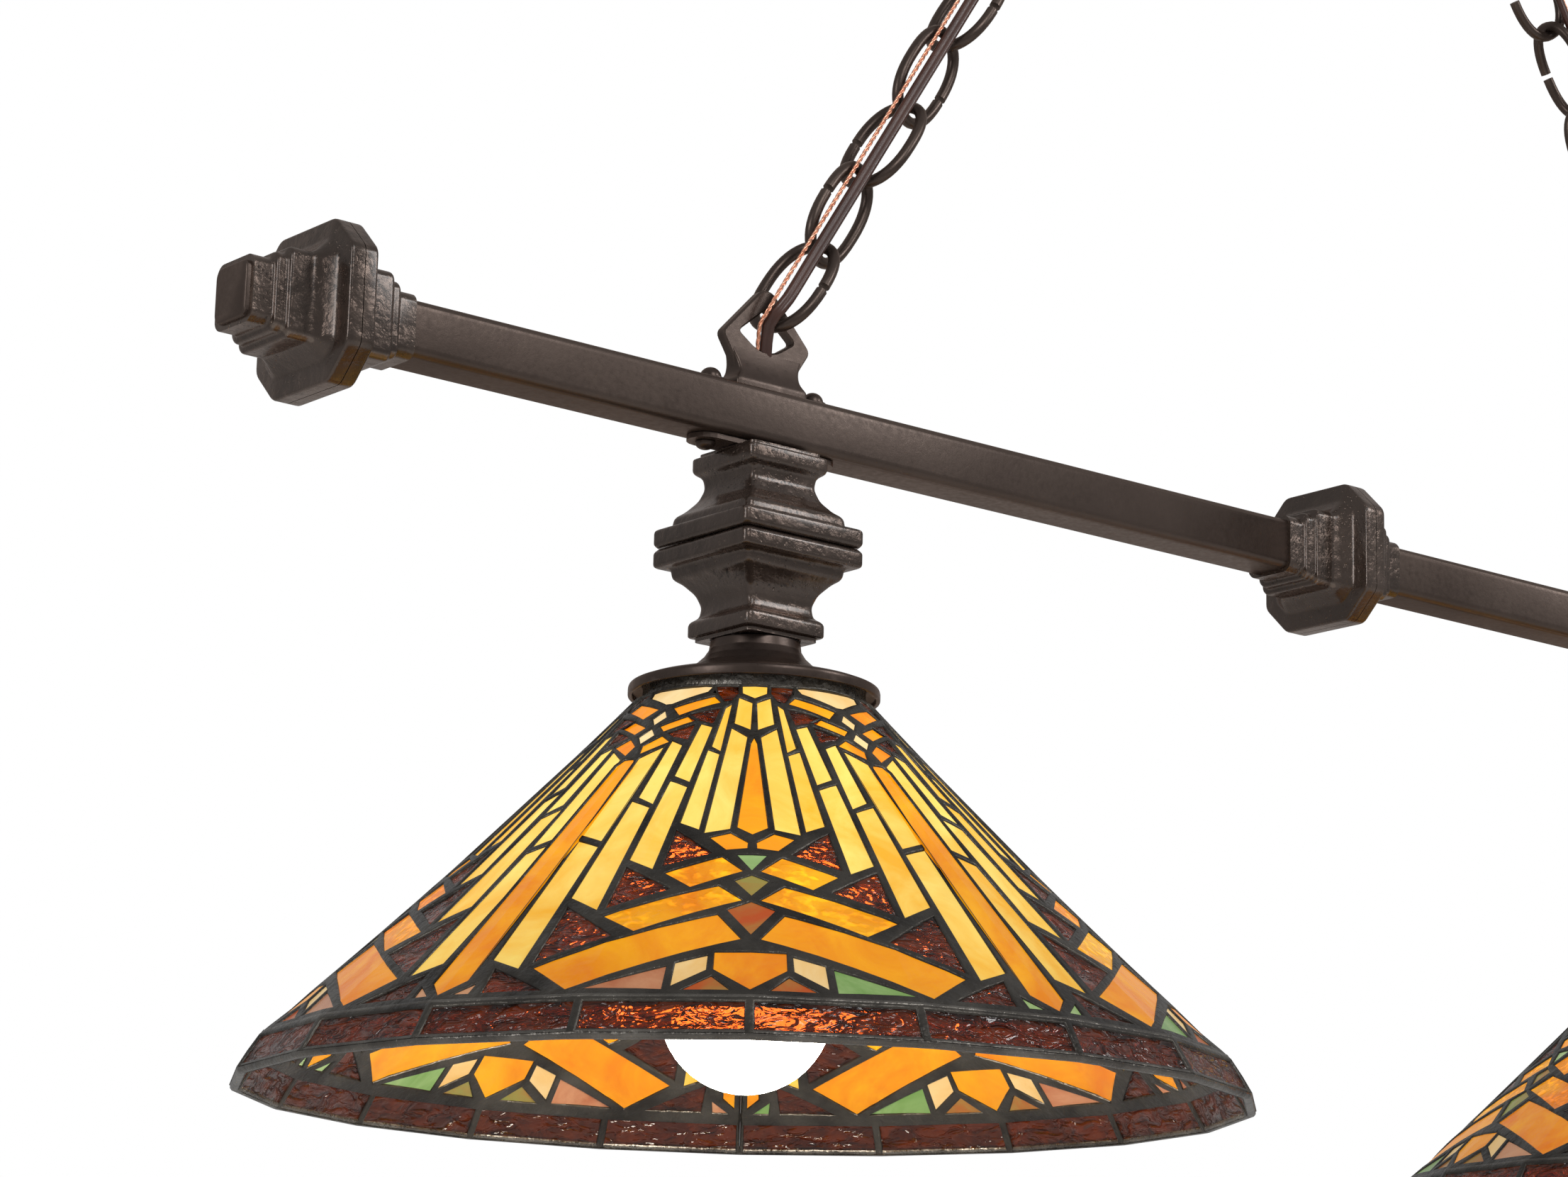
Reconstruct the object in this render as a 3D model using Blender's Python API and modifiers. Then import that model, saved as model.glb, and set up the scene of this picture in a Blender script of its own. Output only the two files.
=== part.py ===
"""A pool table lamp: two leaded glass shades under a square bar that hangs on a V of chain.

The origin is the middle of the ceiling strap's top face, +X runs along the bar and +Z is up.
Lengths are written in millimetres and become metres where a mesh is made. A shade's own
heights are counted from the plane of its rim.
"""

import math

import bmesh
import bpy
from mathutils import Matrix, Vector

MM = 0.001
MERGE = 0.00002
GAP = 0.3
SIDES = (("left", -1), ("right", 1))

# Shade: a shallow cone of glass with a steeper border band.
SHADE_X = 291
RIM_R = 178
BAND_R, BAND_TOP = 170.5, 12.8
CONE_R, CONE_TOP = 42.5, 139.3
CONE_HOLLOW = 2.0
GLASS = 3.0

# Square bar and the castings that are threaded on it.
BAR = 20
BAR_WALL = 1.6
BAR_HEIGHT = 244
BAR_END = 510.4
BAR_TOP = BAR_HEIGHT + BAR / 2
BAR_FLOOR = BAR_HEIGHT - BAR / 2
CASTING = 31.5
FINIAL_MID = SHADE_X + 188.5
CASTING_PROFILE = (
    (0, 11.5, 14.5), (7.3, 11.5, 14.5), (7.7, 13.5, 17.5), (11.3, 13.5, 17.5), (11.7, 15.5, 20.5),
    (20, 15.5, 20.5), (22.5, 17.2, 22.2), (26, 21, 25.5), (26.4, 28, 31.5), (31.5, 28, 31.5),
)

# Neck between a shade and the bar, square in plan.
ROD_R, ROD_BORE = 4.8, 3.2
ROD_CLEAR = 5.2
NECK_FOOT, NECK_MIDDLE = 163, 197
NECK_PROFILE = ((0, 15.8), (1.4, 15.8), (1.5, 17.7), (6.8, 17.7), (8.5, 15), (12.5, 14.4), (17, 16),
                (21, 19.4), (22.8, 22), (26.9, 22.6), (27, 27), (33.6, 27))

HANGER_SCREW_X = 23.5
PLATE_SCREW_X = 25

# Chain: open oval links of round wire.
LINKS = 14
LINK_LENGTH, LINK_WIDTH, LINK_WIRE = 46.6, 29, 4.4
LINK_OVERLAP = 0.5
LINK_ROLL = -67
CHAIN_TWIST = -23
PITCH = LINK_LENGTH - 2 * LINK_WIRE + LINK_OVERLAP

# Canopy loop, whose ring the chains hang in.
RING_Z = -55
RING_R, RING_WIRE = 12, 2.25
COLLAR_R, COLLAR_TOP, COLLAR_FOOT = 13, -28.3, -44
CORD_BORE = 6.6
STEM_R = 8.4
END_LINK_Y = 2.5

# Hanger on top of the bar: where the lowest link bears on its loop.
HOOK_X, HOOK_Z = 5, 30
CORD_R, GROUND_R = 2.4, 0.8
CORD_OFFSET = 9.0
CORD_REACH = 7
GROUND_AHEAD, GROUND_ASIDE = 1.2, 4.2

BEARING = RING_WIRE + LINK_WIRE / 2 + GAP
CHAIN_SPAN = (LINKS - 1) * PITCH + LINK_LENGTH - LINK_WIRE - 2 * BEARING
RING_LOW = RING_Z - math.sqrt(RING_R**2 - END_LINK_Y**2)
HOOK_OUT = SHADE_X - HOOK_X
CHAIN_DROP = math.sqrt(CHAIN_SPAN**2 - HOOK_OUT**2 - END_LINK_Y**2)
RIM_Z = RING_LOW - CHAIN_DROP - HOOK_Z - BAR_TOP

PARTS = {}


def new_material(name, colour, roughness, metallic):
    material = bpy.data.materials.new(name)
    material.use_nodes = True
    shader = material.node_tree.nodes["Principled BSDF"]
    shader.inputs["Base Color"].default_value = (*colour, 1)
    shader.inputs["Roughness"].default_value = roughness
    shader.inputs["Metallic"].default_value = metallic
    return material


def make_materials():
    return {
        "brown": new_material("brown metal", (0.075, 0.055, 0.047), 0.45, 0.7),
        "steel": new_material("zinc plated steel", (0.5, 0.5, 0.5), 0.35, 1),
        "glass": new_material("amber glass", (0.85, 0.5, 0.12), 0.15, 0),
        "lead": new_material("dark solder", (0.06, 0.055, 0.05), 0.4, 0.9),
        "bulb": new_material("frosted glass", (0.95, 0.93, 0.88), 0.4, 0),
        "porcelain": new_material("socket shell", (0.7, 0.55, 0.25), 0.3, 1),
        "cord": new_material("brown cord", (0.07, 0.035, 0.03), 0.4, 0),
        "copper": new_material("copper strand", (0.8, 0.4, 0.2), 0.3, 1),
    }


def new_object(name, data, where, at=(0, 0, 0)):
    """Put data in a collection as an object placed at a point in millimetres."""
    thing = bpy.data.objects.new(name, data)
    thing.location = Vector(at) * MM
    where.objects.link(thing)
    return thing


def keep(name, data, material, at=(0, 0, 0), smooth=None):
    """Make one piece of the lamp, shaded smooth where edges are under the smooth angle."""
    data.materials.append(MATERIALS[material])
    piece = new_object(name, data, LAMP, at)
    if smooth:
        data.shade_smooth()
        data.set_sharp_from_angle(angle=math.radians(smooth))
    PARTS[name] = piece
    return piece


def keep_cutter(name, data, at=(0, 0, 0)):
    cutter = new_object(name, data, CUTTERS, at)
    cutter.hide_render = True
    cutter.display_type = "WIRE"
    return cutter


def boolean(piece, other, operation="DIFFERENCE"):
    modifier = piece.modifiers.new(operation.lower(), "BOOLEAN")
    modifier.operation = operation
    modifier.solver = "EXACT"
    modifier.object = other


def mesh_of(build):
    """A mesh from a function that fills a bmesh in millimetres."""
    bm = bmesh.new()
    build(bm)
    bmesh.ops.scale(bm, vec=(MM, MM, MM), verts=bm.verts)
    bmesh.ops.recalc_face_normals(bm, faces=bm.faces)
    data = bpy.data.meshes.new("mesh")
    bm.to_mesh(data)
    bm.free()
    return data


def block(low, high):
    """A box between two corners."""
    size = Vector(high) - Vector(low)
    middle = (Vector(high) + Vector(low)) / 2

    def build(bm):
        bmesh.ops.create_cube(bm, size=1, matrix=Matrix.Translation(middle) @ Matrix.Diagonal((*size, 1)))

    return mesh_of(build)


def drum(radius, low, high, segments=16):
    """A cylinder along Z between two heights."""

    def build(bm):
        place = Matrix.Translation((0, 0, (low + high) / 2))
        bmesh.ops.create_cone(bm, cap_ends=True, segments=segments, radius1=radius, radius2=radius,
                              depth=high - low, matrix=place)

    return mesh_of(build)


def outline_mesh(points, closed):
    def build(bm):
        corners = [bm.verts.new((r, 0, z)) for r, z in points]
        for one, two in zip(corners, corners[1:]):
            bm.edges.new((one, two))
        if closed:
            bm.edges.new((corners[-1], corners[0]))

    bm = bmesh.new()
    build(bm)
    bmesh.ops.scale(bm, vec=(MM, MM, MM), verts=bm.verts)
    data = bpy.data.meshes.new("profile")
    bm.to_mesh(data)
    bm.free()
    return data


def screw(piece, steps):
    turn = piece.modifiers.new("turn", "SCREW")
    turn.steps = steps
    turn.render_steps = steps
    turn.use_merge_vertices = True
    turn.merge_threshold = MERGE
    turn.use_smooth_shade = False
    return turn


def turned(name, points, steps, material, at=(0, 0, 0), closed=True, angle=0):
    """A solid turned about Z from (radius, height) points that run down its outer side."""
    piece = keep(name, outline_mesh(points, closed), material, at)
    piece.rotation_euler = (0, 0, math.radians(angle))
    turn = screw(piece, steps)
    turn.use_smooth_shade = steps > 6
    return piece


def square_turned(name, points, material, at):
    """A solid of square plan, whose points give half its width across the flats."""
    corner = math.sqrt(2)
    return turned(name, [(half * corner, z) for half, z in points], 4, material, at, angle=45)


def loft(sections):
    """A solid through rings of points that all have the same number of corners."""

    def build(bm):
        rings = [[bm.verts.new(point) for point in ring] for ring in sections]
        bm.faces.new(rings[0])
        bm.faces.new(rings[-1])
        for low, high in zip(rings, rings[1:]):
            for i in range(len(low)):
                j = (i + 1) % len(low)
                bm.faces.new((low[i], low[j], high[j], high[i]))

    return mesh_of(build)


def flat_outline(name, loops, thickness, turn=None):
    """A plate from closed loops of (x, y) points: the first is its edge, the others are holes."""
    curve = bpy.data.curves.new(name, "CURVE")
    curve.dimensions = "2D"
    curve.fill_mode = "BOTH"
    curve.extrude = thickness / 2 * MM
    for loop in loops:
        spline = curve.splines.new("POLY")
        spline.points.add(len(loop) - 1)
        for point, (x, y) in zip(spline.points, loop):
            point.co = (x * MM, y * MM, 0, 1)
        spline.use_cyclic_u = True
    return mesh_from_curve(curve, turn)


def mesh_from_curve(curve, turn=None):
    """The welded mesh of a curve, so that it can be cut and joined."""
    guide = bpy.data.objects.new("guide", curve)
    CUTTERS.objects.link(guide)
    bpy.context.view_layer.update()
    seen = guide.evaluated_get(bpy.context.evaluated_depsgraph_get())
    data = bpy.data.meshes.new_from_object(seen)
    bpy.data.objects.remove(guide)
    bm = bmesh.new()
    bm.from_mesh(data)
    bmesh.ops.remove_doubles(bm, verts=bm.verts, dist=MERGE)
    if turn:
        bm.transform(turn)
    bmesh.ops.recalc_face_normals(bm, faces=bm.faces)
    bm.to_mesh(data)
    bm.free()
    return data


def circle(radius, x=0, y=0, count=16):
    turns = [2 * math.pi * i / count for i in range(count)]
    return [(x + radius * math.cos(a), y + radius * math.sin(a)) for a in turns]


def smooth_route(points, spacing):
    """Points along a Catmull-Rom curve through the given ones, about one spacing apart."""
    ends = [points[0] * 2 - points[1]] + points + [points[-1] * 2 - points[-2]]
    route = []
    for a, b, c, d in zip(ends, ends[1:], ends[2:], ends[3:]):
        steps = max(1, round((c - b).length / spacing))
        for i in range(steps):
            t = i / steps
            route.append(((b * 2) + (c - a) * t + (a * 2 - b * 5 + c * 4 - d) * t**2
                          + (b * 3 - a - c * 3 + d) * t**3) / 2)
    return route + [points[-1]]


def tube(name, points, radius, resolution, material):
    """A cord or wire along a list of points."""
    curve = bpy.data.curves.new(name, "CURVE")
    curve.dimensions = "3D"
    curve.bevel_depth = radius * MM
    curve.bevel_resolution = resolution
    curve.use_fill_caps = True
    spline = curve.splines.new("POLY")
    spline.points.add(len(points) - 1)
    for knot, point in zip(spline.points, points):
        knot.co = (*(Vector(point) * MM), 1)
    return keep(name, mesh_from_curve(curve), material, smooth=50)


def mirror_x(point, side):
    """A point of the left lamp as it lies on the given side."""
    return Vector((-side * point[0], point[1], point[2]))


# Canopy

def make_strap():
    half = 52.5
    strap = keep("ceiling_strap", block((-half, -10, -2.5), (half, 10, 0)), "steel")
    for name, side in SIDES:
        hole = keep_cutter("strap_hole_" + name, drum(2.5, -4, 2), (38 * side, 0, 0))
        boolean(strap, hole)
        turned("strap_screw_" + name, ((0, -0.3), (2, -0.3), (2, -2.8), (4.4, -2.8), (4.2, -4.2),
               (3, -5.4), (0, -5.8)), 12, "steel", (38 * side, 0, 0), closed=False)


def make_canopy_dish():
    rim, wall = 65, 1.2
    outer = ((9, -27), (34, -27), (49, -24), (59, -17.5), (64, -8), (rim, -0.5))
    inner = tuple((r - wall * 0.75, z + wall) if r > 9 else (r, z + wall) for r, z in outer[:-1])
    turned("canopy_dish", (*reversed(outer), *inner, (rim - wall, -0.5)), 24, "brown")


def make_canopy_stem():
    turned("canopy_stem", ((STEM_R, -2.8), (STEM_R, -37), (CORD_BORE, -37), (CORD_BORE, -2.8)), 16, "steel")
    turned("canopy_locknut", ((13, -3.1), (13, -7.5), (STEM_R + 1.6, -7.5), (STEM_R + 1.6, -3.1)), 6, "steel")


def make_canopy_loop():
    seat = STEM_R + GAP
    profile = ((COLLAR_R - 1, COLLAR_TOP), (COLLAR_R, COLLAR_TOP - 1.5), (COLLAR_R, COLLAR_FOOT + 2),
               (COLLAR_R - 2, COLLAR_FOOT), (0, COLLAR_FOOT), (0, -37.4), (seat, -37.4), (seat, COLLAR_TOP))
    loop = turned("canopy_loop", profile, 20, "brown")
    bpy.ops.mesh.primitive_torus_add(major_segments=20, minor_segments=8, major_radius=RING_R * MM,
                                     minor_radius=RING_WIRE * MM, location=(0, 0, RING_Z * MM),
                                     rotation=(0, math.pi / 2, 0))
    ring = take_primitive("canopy_ring")
    boolean(loop, ring, "UNION")
    boolean(loop, keep_cutter("cord_bore", drum(CORD_BORE, -50, -36)))


def take_primitive(name):
    """Move the primitive that was just added to the cutters' collection."""
    thing = bpy.context.active_object
    for home in list(thing.users_collection):
        home.objects.unlink(thing)
    CUTTERS.objects.link(thing)
    thing.name = name
    thing.hide_render = True
    thing.display_type = "WIRE"
    return thing


# Chains and cords

def chain_frame(side):
    """The chain's lower and upper bearing points and its direction, both for one side."""
    hook = mirror_x((-HOOK_OUT, 0, RIM_Z + BAR_TOP + HOOK_Z), side)
    ring = Vector((0, -side * END_LINK_Y, RING_LOW))
    return hook, ring, (ring - hook).normalized()


def across(side, angle):
    """A direction square to the chain, turned about it by an angle in degrees."""
    along = chain_frame(side)[2]
    level = Vector((0, 1, 0))
    over = level.cross(along).normalized() * -side
    a = math.radians(angle)
    return over * math.cos(a) + along.cross(over).normalized() * (math.sin(a) * -side)


def link_mesh(place):
    """An oval link: a torus whose two halves are drawn apart, set down by a matrix."""
    half_width = (LINK_WIDTH - LINK_WIRE) / 2
    segments, sides = 8, 4
    start = math.pi / segments
    reach = (LINK_LENGTH - LINK_WIRE) / 2 - half_width * math.cos(start)

    def build(bm):
        rings = []
        for i in range(segments):
            a = start + 2 * math.pi * i / segments
            shift = reach if math.cos(a) > 0 else -reach
            ring = []
            for j in range(sides):
                b = 2 * math.pi * j / sides
                r = half_width + LINK_WIRE / 2 * math.cos(b)
                ring.append(bm.verts.new((r * math.cos(a) + shift, r * math.sin(a),
                                          LINK_WIRE / 2 * math.sin(b))))
            rings.append(ring)
        for i in range(segments):
            one, two = rings[i], rings[(i + 1) % segments]
            for j in range(sides):
                k = (j + 1) % sides
                bm.faces.new((one[j], two[j], two[k], one[k]))
        bm.transform(place)

    return mesh_of(build)


def link_place(side, number):
    """Where a link lies, counted from the hanger: its length, width and thickness axes."""
    hook, _, along = chain_frame(side)
    start = (LINK_LENGTH - LINK_WIRE) / 2 - BEARING
    middle = hook + along * (start + number * PITCH)
    roll = LINK_ROLL + 90 * number + CHAIN_TWIST * number / (LINKS - 1)
    wide = across(side, roll)
    axes = Matrix((along, wide, along.cross(wide))).transposed().to_4x4()
    return Matrix.Translation(middle) @ axes


def make_chain(name, side):
    """The links of one chain, joined where each bears on the next."""
    chain = keep("chain_" + name, link_mesh(link_place(side, 0)), "brown", smooth=50)
    for number in range(1, LINKS):
        link = keep_cutter(f"link_{name}_{number}", link_mesh(link_place(side, number)))
        boolean(chain, link, "UNION")


def corner_angle(part):
    """The corner between the links' two planes that faces forward, a part of the way up."""
    return LINK_ROLL - 45 + CHAIN_TWIST * part


def cord_route(side, ahead, aside, hook_shift, top_shift):
    """A cord's way from inside the bar, out of the hanger, along the chain and to the canopy."""
    bar = RIM_Z + BAR_TOP
    throat = ((0.8, 0, -5), (0.8, 0, 4), (0.8, -0.2, 12), (-0.4, -2.2, 19), (-1.5, -4.7, 24.8),
              (-0.3, -7.0, 28.8))
    route = [mirror_x((x - SHADE_X + hook_shift, y, z + bar), side) for x, y, z in throat]
    hook, ring, along = chain_frame(side)
    stations = 24
    for i in range(stations):
        part = i / (stations - 1)
        angle = corner_angle(part)
        reach = 4 + part * (CHAIN_SPAN - 40)
        route.append(hook + along * reach + across(side, angle) * (CORD_OFFSET + ahead)
                     + across(side, angle - 90) * aside)
    behind = 3 if side > 0 else -3
    swept = (-4.4, -54.6) if side > 0 else (-5, -56.4)
    top = ((12, -8, -72), (7.4, -7.9, -63), (4.4, *swept), (2.2, behind * 0.7, -52.8),
           (1.1, behind, -50.2), (0.8, behind, RING_Z + CORD_REACH))
    route += [Vector((side * (x + top_shift), y, z)) for x, y, z in top]
    return route


def make_cords(name, side):
    cord = cord_route(side, 0, 0, 0, 0)
    tube("cord_" + name, smooth_route(cord, 15), CORD_R, 1, "cord")
    ground = cord_route(side, GROUND_AHEAD, GROUND_ASIDE, -3.7, 3.8)
    tube("ground_wire_" + name, smooth_route(ground, 15), GROUND_R, 0, "copper")


# Bar

def make_bar(name, side):
    """One half of the square bar, with the holes for its hanger, rod and screws."""
    length = BAR_END - GAP
    low, high = sorted((side * GAP, side * (GAP + length)))
    half = BAR / 2

    def build(bm):
        size = Matrix.Diagonal((high - low, BAR, BAR, 1))
        bmesh.ops.create_cube(bm, size=1, matrix=Matrix.Translation(((high + low) / 2, 0, 0)) @ size)
        long_edges = [e for e in bm.edges if abs(e.verts[0].co.x - e.verts[1].co.x) > 1]
        bmesh.ops.bevel(bm, geom=long_edges, offset=2, segments=2, profile=0.5, affect="EDGES")

    middle = (0, 0, RIM_Z + BAR_HEIGHT)
    bar = keep("bar_" + name, mesh_of(build), "brown", middle)
    inside = half - BAR_WALL
    boolean(bar, keep_cutter("bar_inside_" + name, block((low - 5, -inside, -inside), (high + 5, inside, inside)),
                             middle))
    at = (side * SHADE_X, 0, RIM_Z + BAR_HEIGHT)
    boolean(bar, keep_cutter("cord_slot_" + name, block((-4.6, -3, 6), (4.6, 3, 12)), at))
    boolean(bar, keep_cutter("rod_hole_" + name, drum(ROD_CLEAR, -12, -6), at))
    for mark, way in (("a", -1), ("b", 1)):
        upper = (at[0] + way * HANGER_SCREW_X, 0, at[2])
        lower = (at[0] + way * PLATE_SCREW_X, 0, at[2])
        boolean(bar, keep_cutter(f"top_hole_{name}_{mark}", drum(2, 6, 12, 10), upper))
        boolean(bar, keep_cutter(f"low_hole_{name}_{mark}", drum(2, -12, -6, 10), lower))


def make_joiner():
    """The square tube inside the bar that holds its two halves in line."""
    half = BAR / 2 - BAR_WALL - GAP
    middle = (0, 0, RIM_Z + BAR_HEIGHT)
    joiner = keep("bar_joiner", block((-60, -half, -half), (60, half, half)), "steel", middle)
    inner = half - 2
    boolean(joiner, keep_cutter("joiner_inside", block((-65, -inner, -inner), (65, inner, inner)), middle))


def casting_ring(x, half, diagonal):
    """The eight corners of a square section whose corners are cut off square to the diagonal."""
    cut = diagonal * math.sqrt(2) - half
    corners = ((half, -cut), (half, cut), (cut, half), (-cut, half),
               (-half, cut), (-half, -cut), (-cut, -half), (cut, -half))
    return [(x, y, z) for y, z in corners]


def make_casting(name, flange_x, way):
    """A stepped casting on the bar, from its flange out to its small end."""
    rings = [casting_ring(way * (CASTING - x), half, diagonal) for x, half, diagonal in CASTING_PROFILE]
    at = (flange_x + way * GAP / 2, 0, RIM_Z + BAR_HEIGHT)
    casting = keep(name, loft(rings), "brown", at)
    bore = BAR / 2 + GAP
    boolean(casting, keep_cutter(name + "_bore", block((-40, -bore, -bore), (40, bore, bore)), at))


def make_castings():
    make_casting("centre_casting_left", 0, -1)
    make_casting("centre_casting_right", 0, 1)
    for name, side in SIDES:
        make_casting(f"finial_{name}_inner", side * FINIAL_MID, -side)
        make_casting(f"finial_{name}_outer", side * FINIAL_MID, side)


def make_end_plate(name, side):
    """The plate that closes the end of the bar, on a square plug inside it."""
    plug = BAR / 2 - BAR_WALL - GAP
    inner, seam, outer = BAR_END - 8, BAR_END + GAP, BAR_END + 2.4
    at = (0, 0, RIM_Z + BAR_HEIGHT)
    xs = sorted((side * seam, side * outer))
    plate = keep("end_plate_" + name, block((xs[0], -9.5, -9.5), (xs[1], 9.5, 9.5)), "brown", at)
    xs = sorted((side * inner, side * (outer - 1)))
    boolean(plate, keep_cutter("end_plug_" + name, block((xs[0], -plug, -plug), (xs[1], plug, plug)), at),
            "UNION")


# Hangers

def rectangle(z, half_x, half_y):
    return [(-half_x, -half_y, z), (half_x, -half_y, z), (half_x, half_y, z), (-half_x, half_y, z)]


def make_hanger(name, side):
    """The diamond loop that the chain bears on, with its flared foot on top of the bar."""
    at = (side * SHADE_X, 0, RIM_Z + BAR_TOP)
    foot = ((GAP, 16, 6.5), (2.4, 16, 6.5), (5.5, 13.8, 5.6), (9, 14.2, 4.8), (12.4, 15.6, 3.6))
    hanger = keep("hanger_" + name, loft([rectangle(*section) for section in foot]), "brown", at)
    edge = ((-13.2, 7), (13.2, 7), (15, 11), (20.5, 19.5), (2.6, 38.6), (-2.6, 38.6), (-20.5, 19.5),
            (-15, 11))
    hole = ((0, 12.8), (4.6, 14.4), (12.4, 20.4), (0, 31.4), (-12.4, 20.4), (-4.6, 14.4))
    upright = Matrix.Rotation(math.pi / 2, 4, "X")
    loop = keep_cutter("hanger_loop_" + name, flat_outline("loop", (edge, hole), 4.6, upright), at)
    boolean(hanger, loop, "UNION")
    boolean(hanger, keep_cutter("throat_" + name, block((-4.4, -2.8, -2), (4.4, 2.8, 15)), at))
    for mark, way in (("a", -1), ("b", 1)):
        head = ((0, 4.6), (1.5, 4.3), (2.8, 3.2), (3.5, 1.4), (3.5, GAP), (1.7, GAP), (1.7, -4), (0, -4))
        spot = (at[0] + way * HANGER_SCREW_X, 0, at[2])
        turned(f"hanger_screw_{name}_{mark}", head, 10, "brown", spot, closed=False)


# Under the bar

def make_mount_plate(name, side):
    """The plate with round lobes that carries the rod, and its two screws."""
    top = BAR_FLOOR - GAP
    thick = 1.8
    lobe, count = 6.8, 8
    arc = [math.pi * i / count - math.pi / 2 for i in range(count + 1)]
    edge = [(PLATE_SCREW_X + lobe * math.cos(a), lobe * math.sin(a)) for a in arc]
    edge += [(-x, -y) for x, y in edge]
    holes = [circle(ROD_CLEAR), circle(2, PLATE_SCREW_X, 0, 10), circle(2, -PLATE_SCREW_X, 0, 10)]
    plate = flat_outline("plate", (edge, *holes), thick)
    keep("mount_plate_" + name, plate, "brown", (side * SHADE_X, 0, RIM_Z + top - thick / 2))
    under = top - thick - GAP
    for mark, way in (("a", -1), ("b", 1)):
        head = ((0, 6), (1.7, 6), (1.7, 0), (3.6, 0), (3.3, -1.4), (2, -2.4), (0, -2.7))
        spot = (side * SHADE_X + way * PLATE_SCREW_X, 0, RIM_Z + under)
        turned(f"mount_screw_{name}_{mark}", head, 10, "brown", spot, closed=False)


def make_neck(name, side):
    """Two castings of square plan on the rod, the upper one turned upside down."""
    at = (side * SHADE_X, 0, RIM_Z)
    top = BAR_FLOOR - GAP - 1.8 - GAP
    height = NECK_PROFILE[-1][0]
    lower = [(half, NECK_FOOT + z) for z, half in reversed(NECK_PROFILE)]
    square_turned("neck_lower_" + name, (*lower, (ROD_CLEAR, NECK_FOOT), (ROD_CLEAR, NECK_FOOT + height)),
                  "brown", at)
    upper = [(half, top - z * (top - NECK_MIDDLE - GAP) / height) for z, half in NECK_PROFILE]
    square_turned("neck_upper_" + name, (*upper, (ROD_CLEAR, NECK_MIDDLE + GAP), (ROD_CLEAR, top)), "brown", at)
    turned("neck_rod_" + name, ((ROD_R, 240), (ROD_R, 115.6), (ROD_BORE, 115.6), (ROD_BORE, 240)),
           12, "steel", at)


def make_cap(name, side):
    """The ogee cap over the top of a shade."""
    outer = ((16, NECK_FOOT - GAP), (16.6, 159), (19.5, 155), (26, 151.2), (34, 148.6), (41, 147),
             (44.5, 145.4), (44.5, 142.4))
    inner = ((43, 142.4), (43, 144.4), (40.4, 145.6), (33.4, 147.2), (25.2, 149.8), (18.2, 153.8),
             (15.2, 158.4), (14.8, 161.4), (ROD_CLEAR, 161.4), (ROD_CLEAR, NECK_FOOT - GAP))
    turned("shade_cap_" + name, (*outer, *inner), 16, "brown", (side * SHADE_X, 0, RIM_Z))


# Shade, socket and bulb

def cone_points(offset):
    """The cone from its band up to its opening, hollowed a little, moved in by an offset."""
    steps = 4
    run, rise = BAND_R - CONE_R, CONE_TOP - BAND_TOP
    length = math.hypot(run, rise)
    inward = Vector((-rise / length, -run / length))
    points = []
    for i in range(steps + 1):
        t = i / steps
        hollow = CONE_HOLLOW * 4 * t * (1 - t) + offset
        points.append((BAND_R - run * t + inward.x * hollow, BAND_TOP + rise * t + inward.y * hollow))
    return points


def make_shade(name, side):
    outer = [(RIM_R, 0), *cone_points(0)]
    inner = [(RIM_R - GLASS * 1.25, 0), *cone_points(GLASS)]
    at = (side * SHADE_X, 0, RIM_Z)
    turned("shade_" + name, (*reversed(outer), *inner), 30, "glass", at)
    turned("shade_ring_" + name, ((39.5, 145.2), (39.5, 135.8), (34, 135.8), (34, 137.2), (38.3, 137.2),
           (38.3, 145.2)), 24, "lead", at)


def make_spider(name, side):
    """The wheel that the shade's ring rests on, and the nut that holds it on the rod."""
    at = (side * SHADE_X, 0, RIM_Z)
    spider = turned("shade_spider_" + name, ((37.4, 135.4), (37.4, 133.4), (ROD_CLEAR, 133.4),
                    (ROD_CLEAR, 135.4)), 24, "steel", at)
    for i in range(3):
        a = 2 * math.pi * i / 3
        spot = (at[0] + 22 * math.cos(a), 22 * math.sin(a), at[2])
        boolean(spider, keep_cutter(f"spider_hole_{name}_{i}", drum(10, 130, 140, 12), spot))
    turned("spider_nut_" + name, ((9, 133.1), (9, 129.4), (6.1, 129.4), (6.1, 133.1)), 6, "steel", at)


def make_socket(name, side):
    profile = ((8.5, 123), (8.5, 118.6), (17, 117), (17, 84), (14.4, 84), (14.4, 115), (ROD_CLEAR, 115),
               (ROD_CLEAR, 123))
    turned("socket_" + name, profile, 16, "porcelain", (side * SHADE_X, 0, RIM_Z))


def make_bulb(name, side):
    outer = ((12.2, 85.6), (14, 80), (17.4, 71), (22.6, 59), (27.6, 47), (30.2, 36), (29.4, 24.5),
             (25, 14), (17, 7), (8.6, 4.2), (0, 3.5))
    inner = ((0, 4.7), (8.2, 5.4), (16.2, 8.1), (24, 14.8), (28.2, 24.9), (29, 36), (26.5, 46.6),
             (21.5, 58.5), (16.3, 70.5), (12.9, 79.6), (11, 85.6))
    at = (side * SHADE_X, 0, RIM_Z)
    globe = turned("bulb_globe_" + name, (*outer, *inner, outer[0]), 14, "bulb", at, closed=False)
    globe.modifiers["turn"].use_smooth_shade = True
    turned("bulb_base_" + name, ((0, 111.6), (4, 111.6), (5.5, 110), (12.9, 106), (12.9, 86), (0, 86)),
           16, "steel", at, closed=False)


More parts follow.
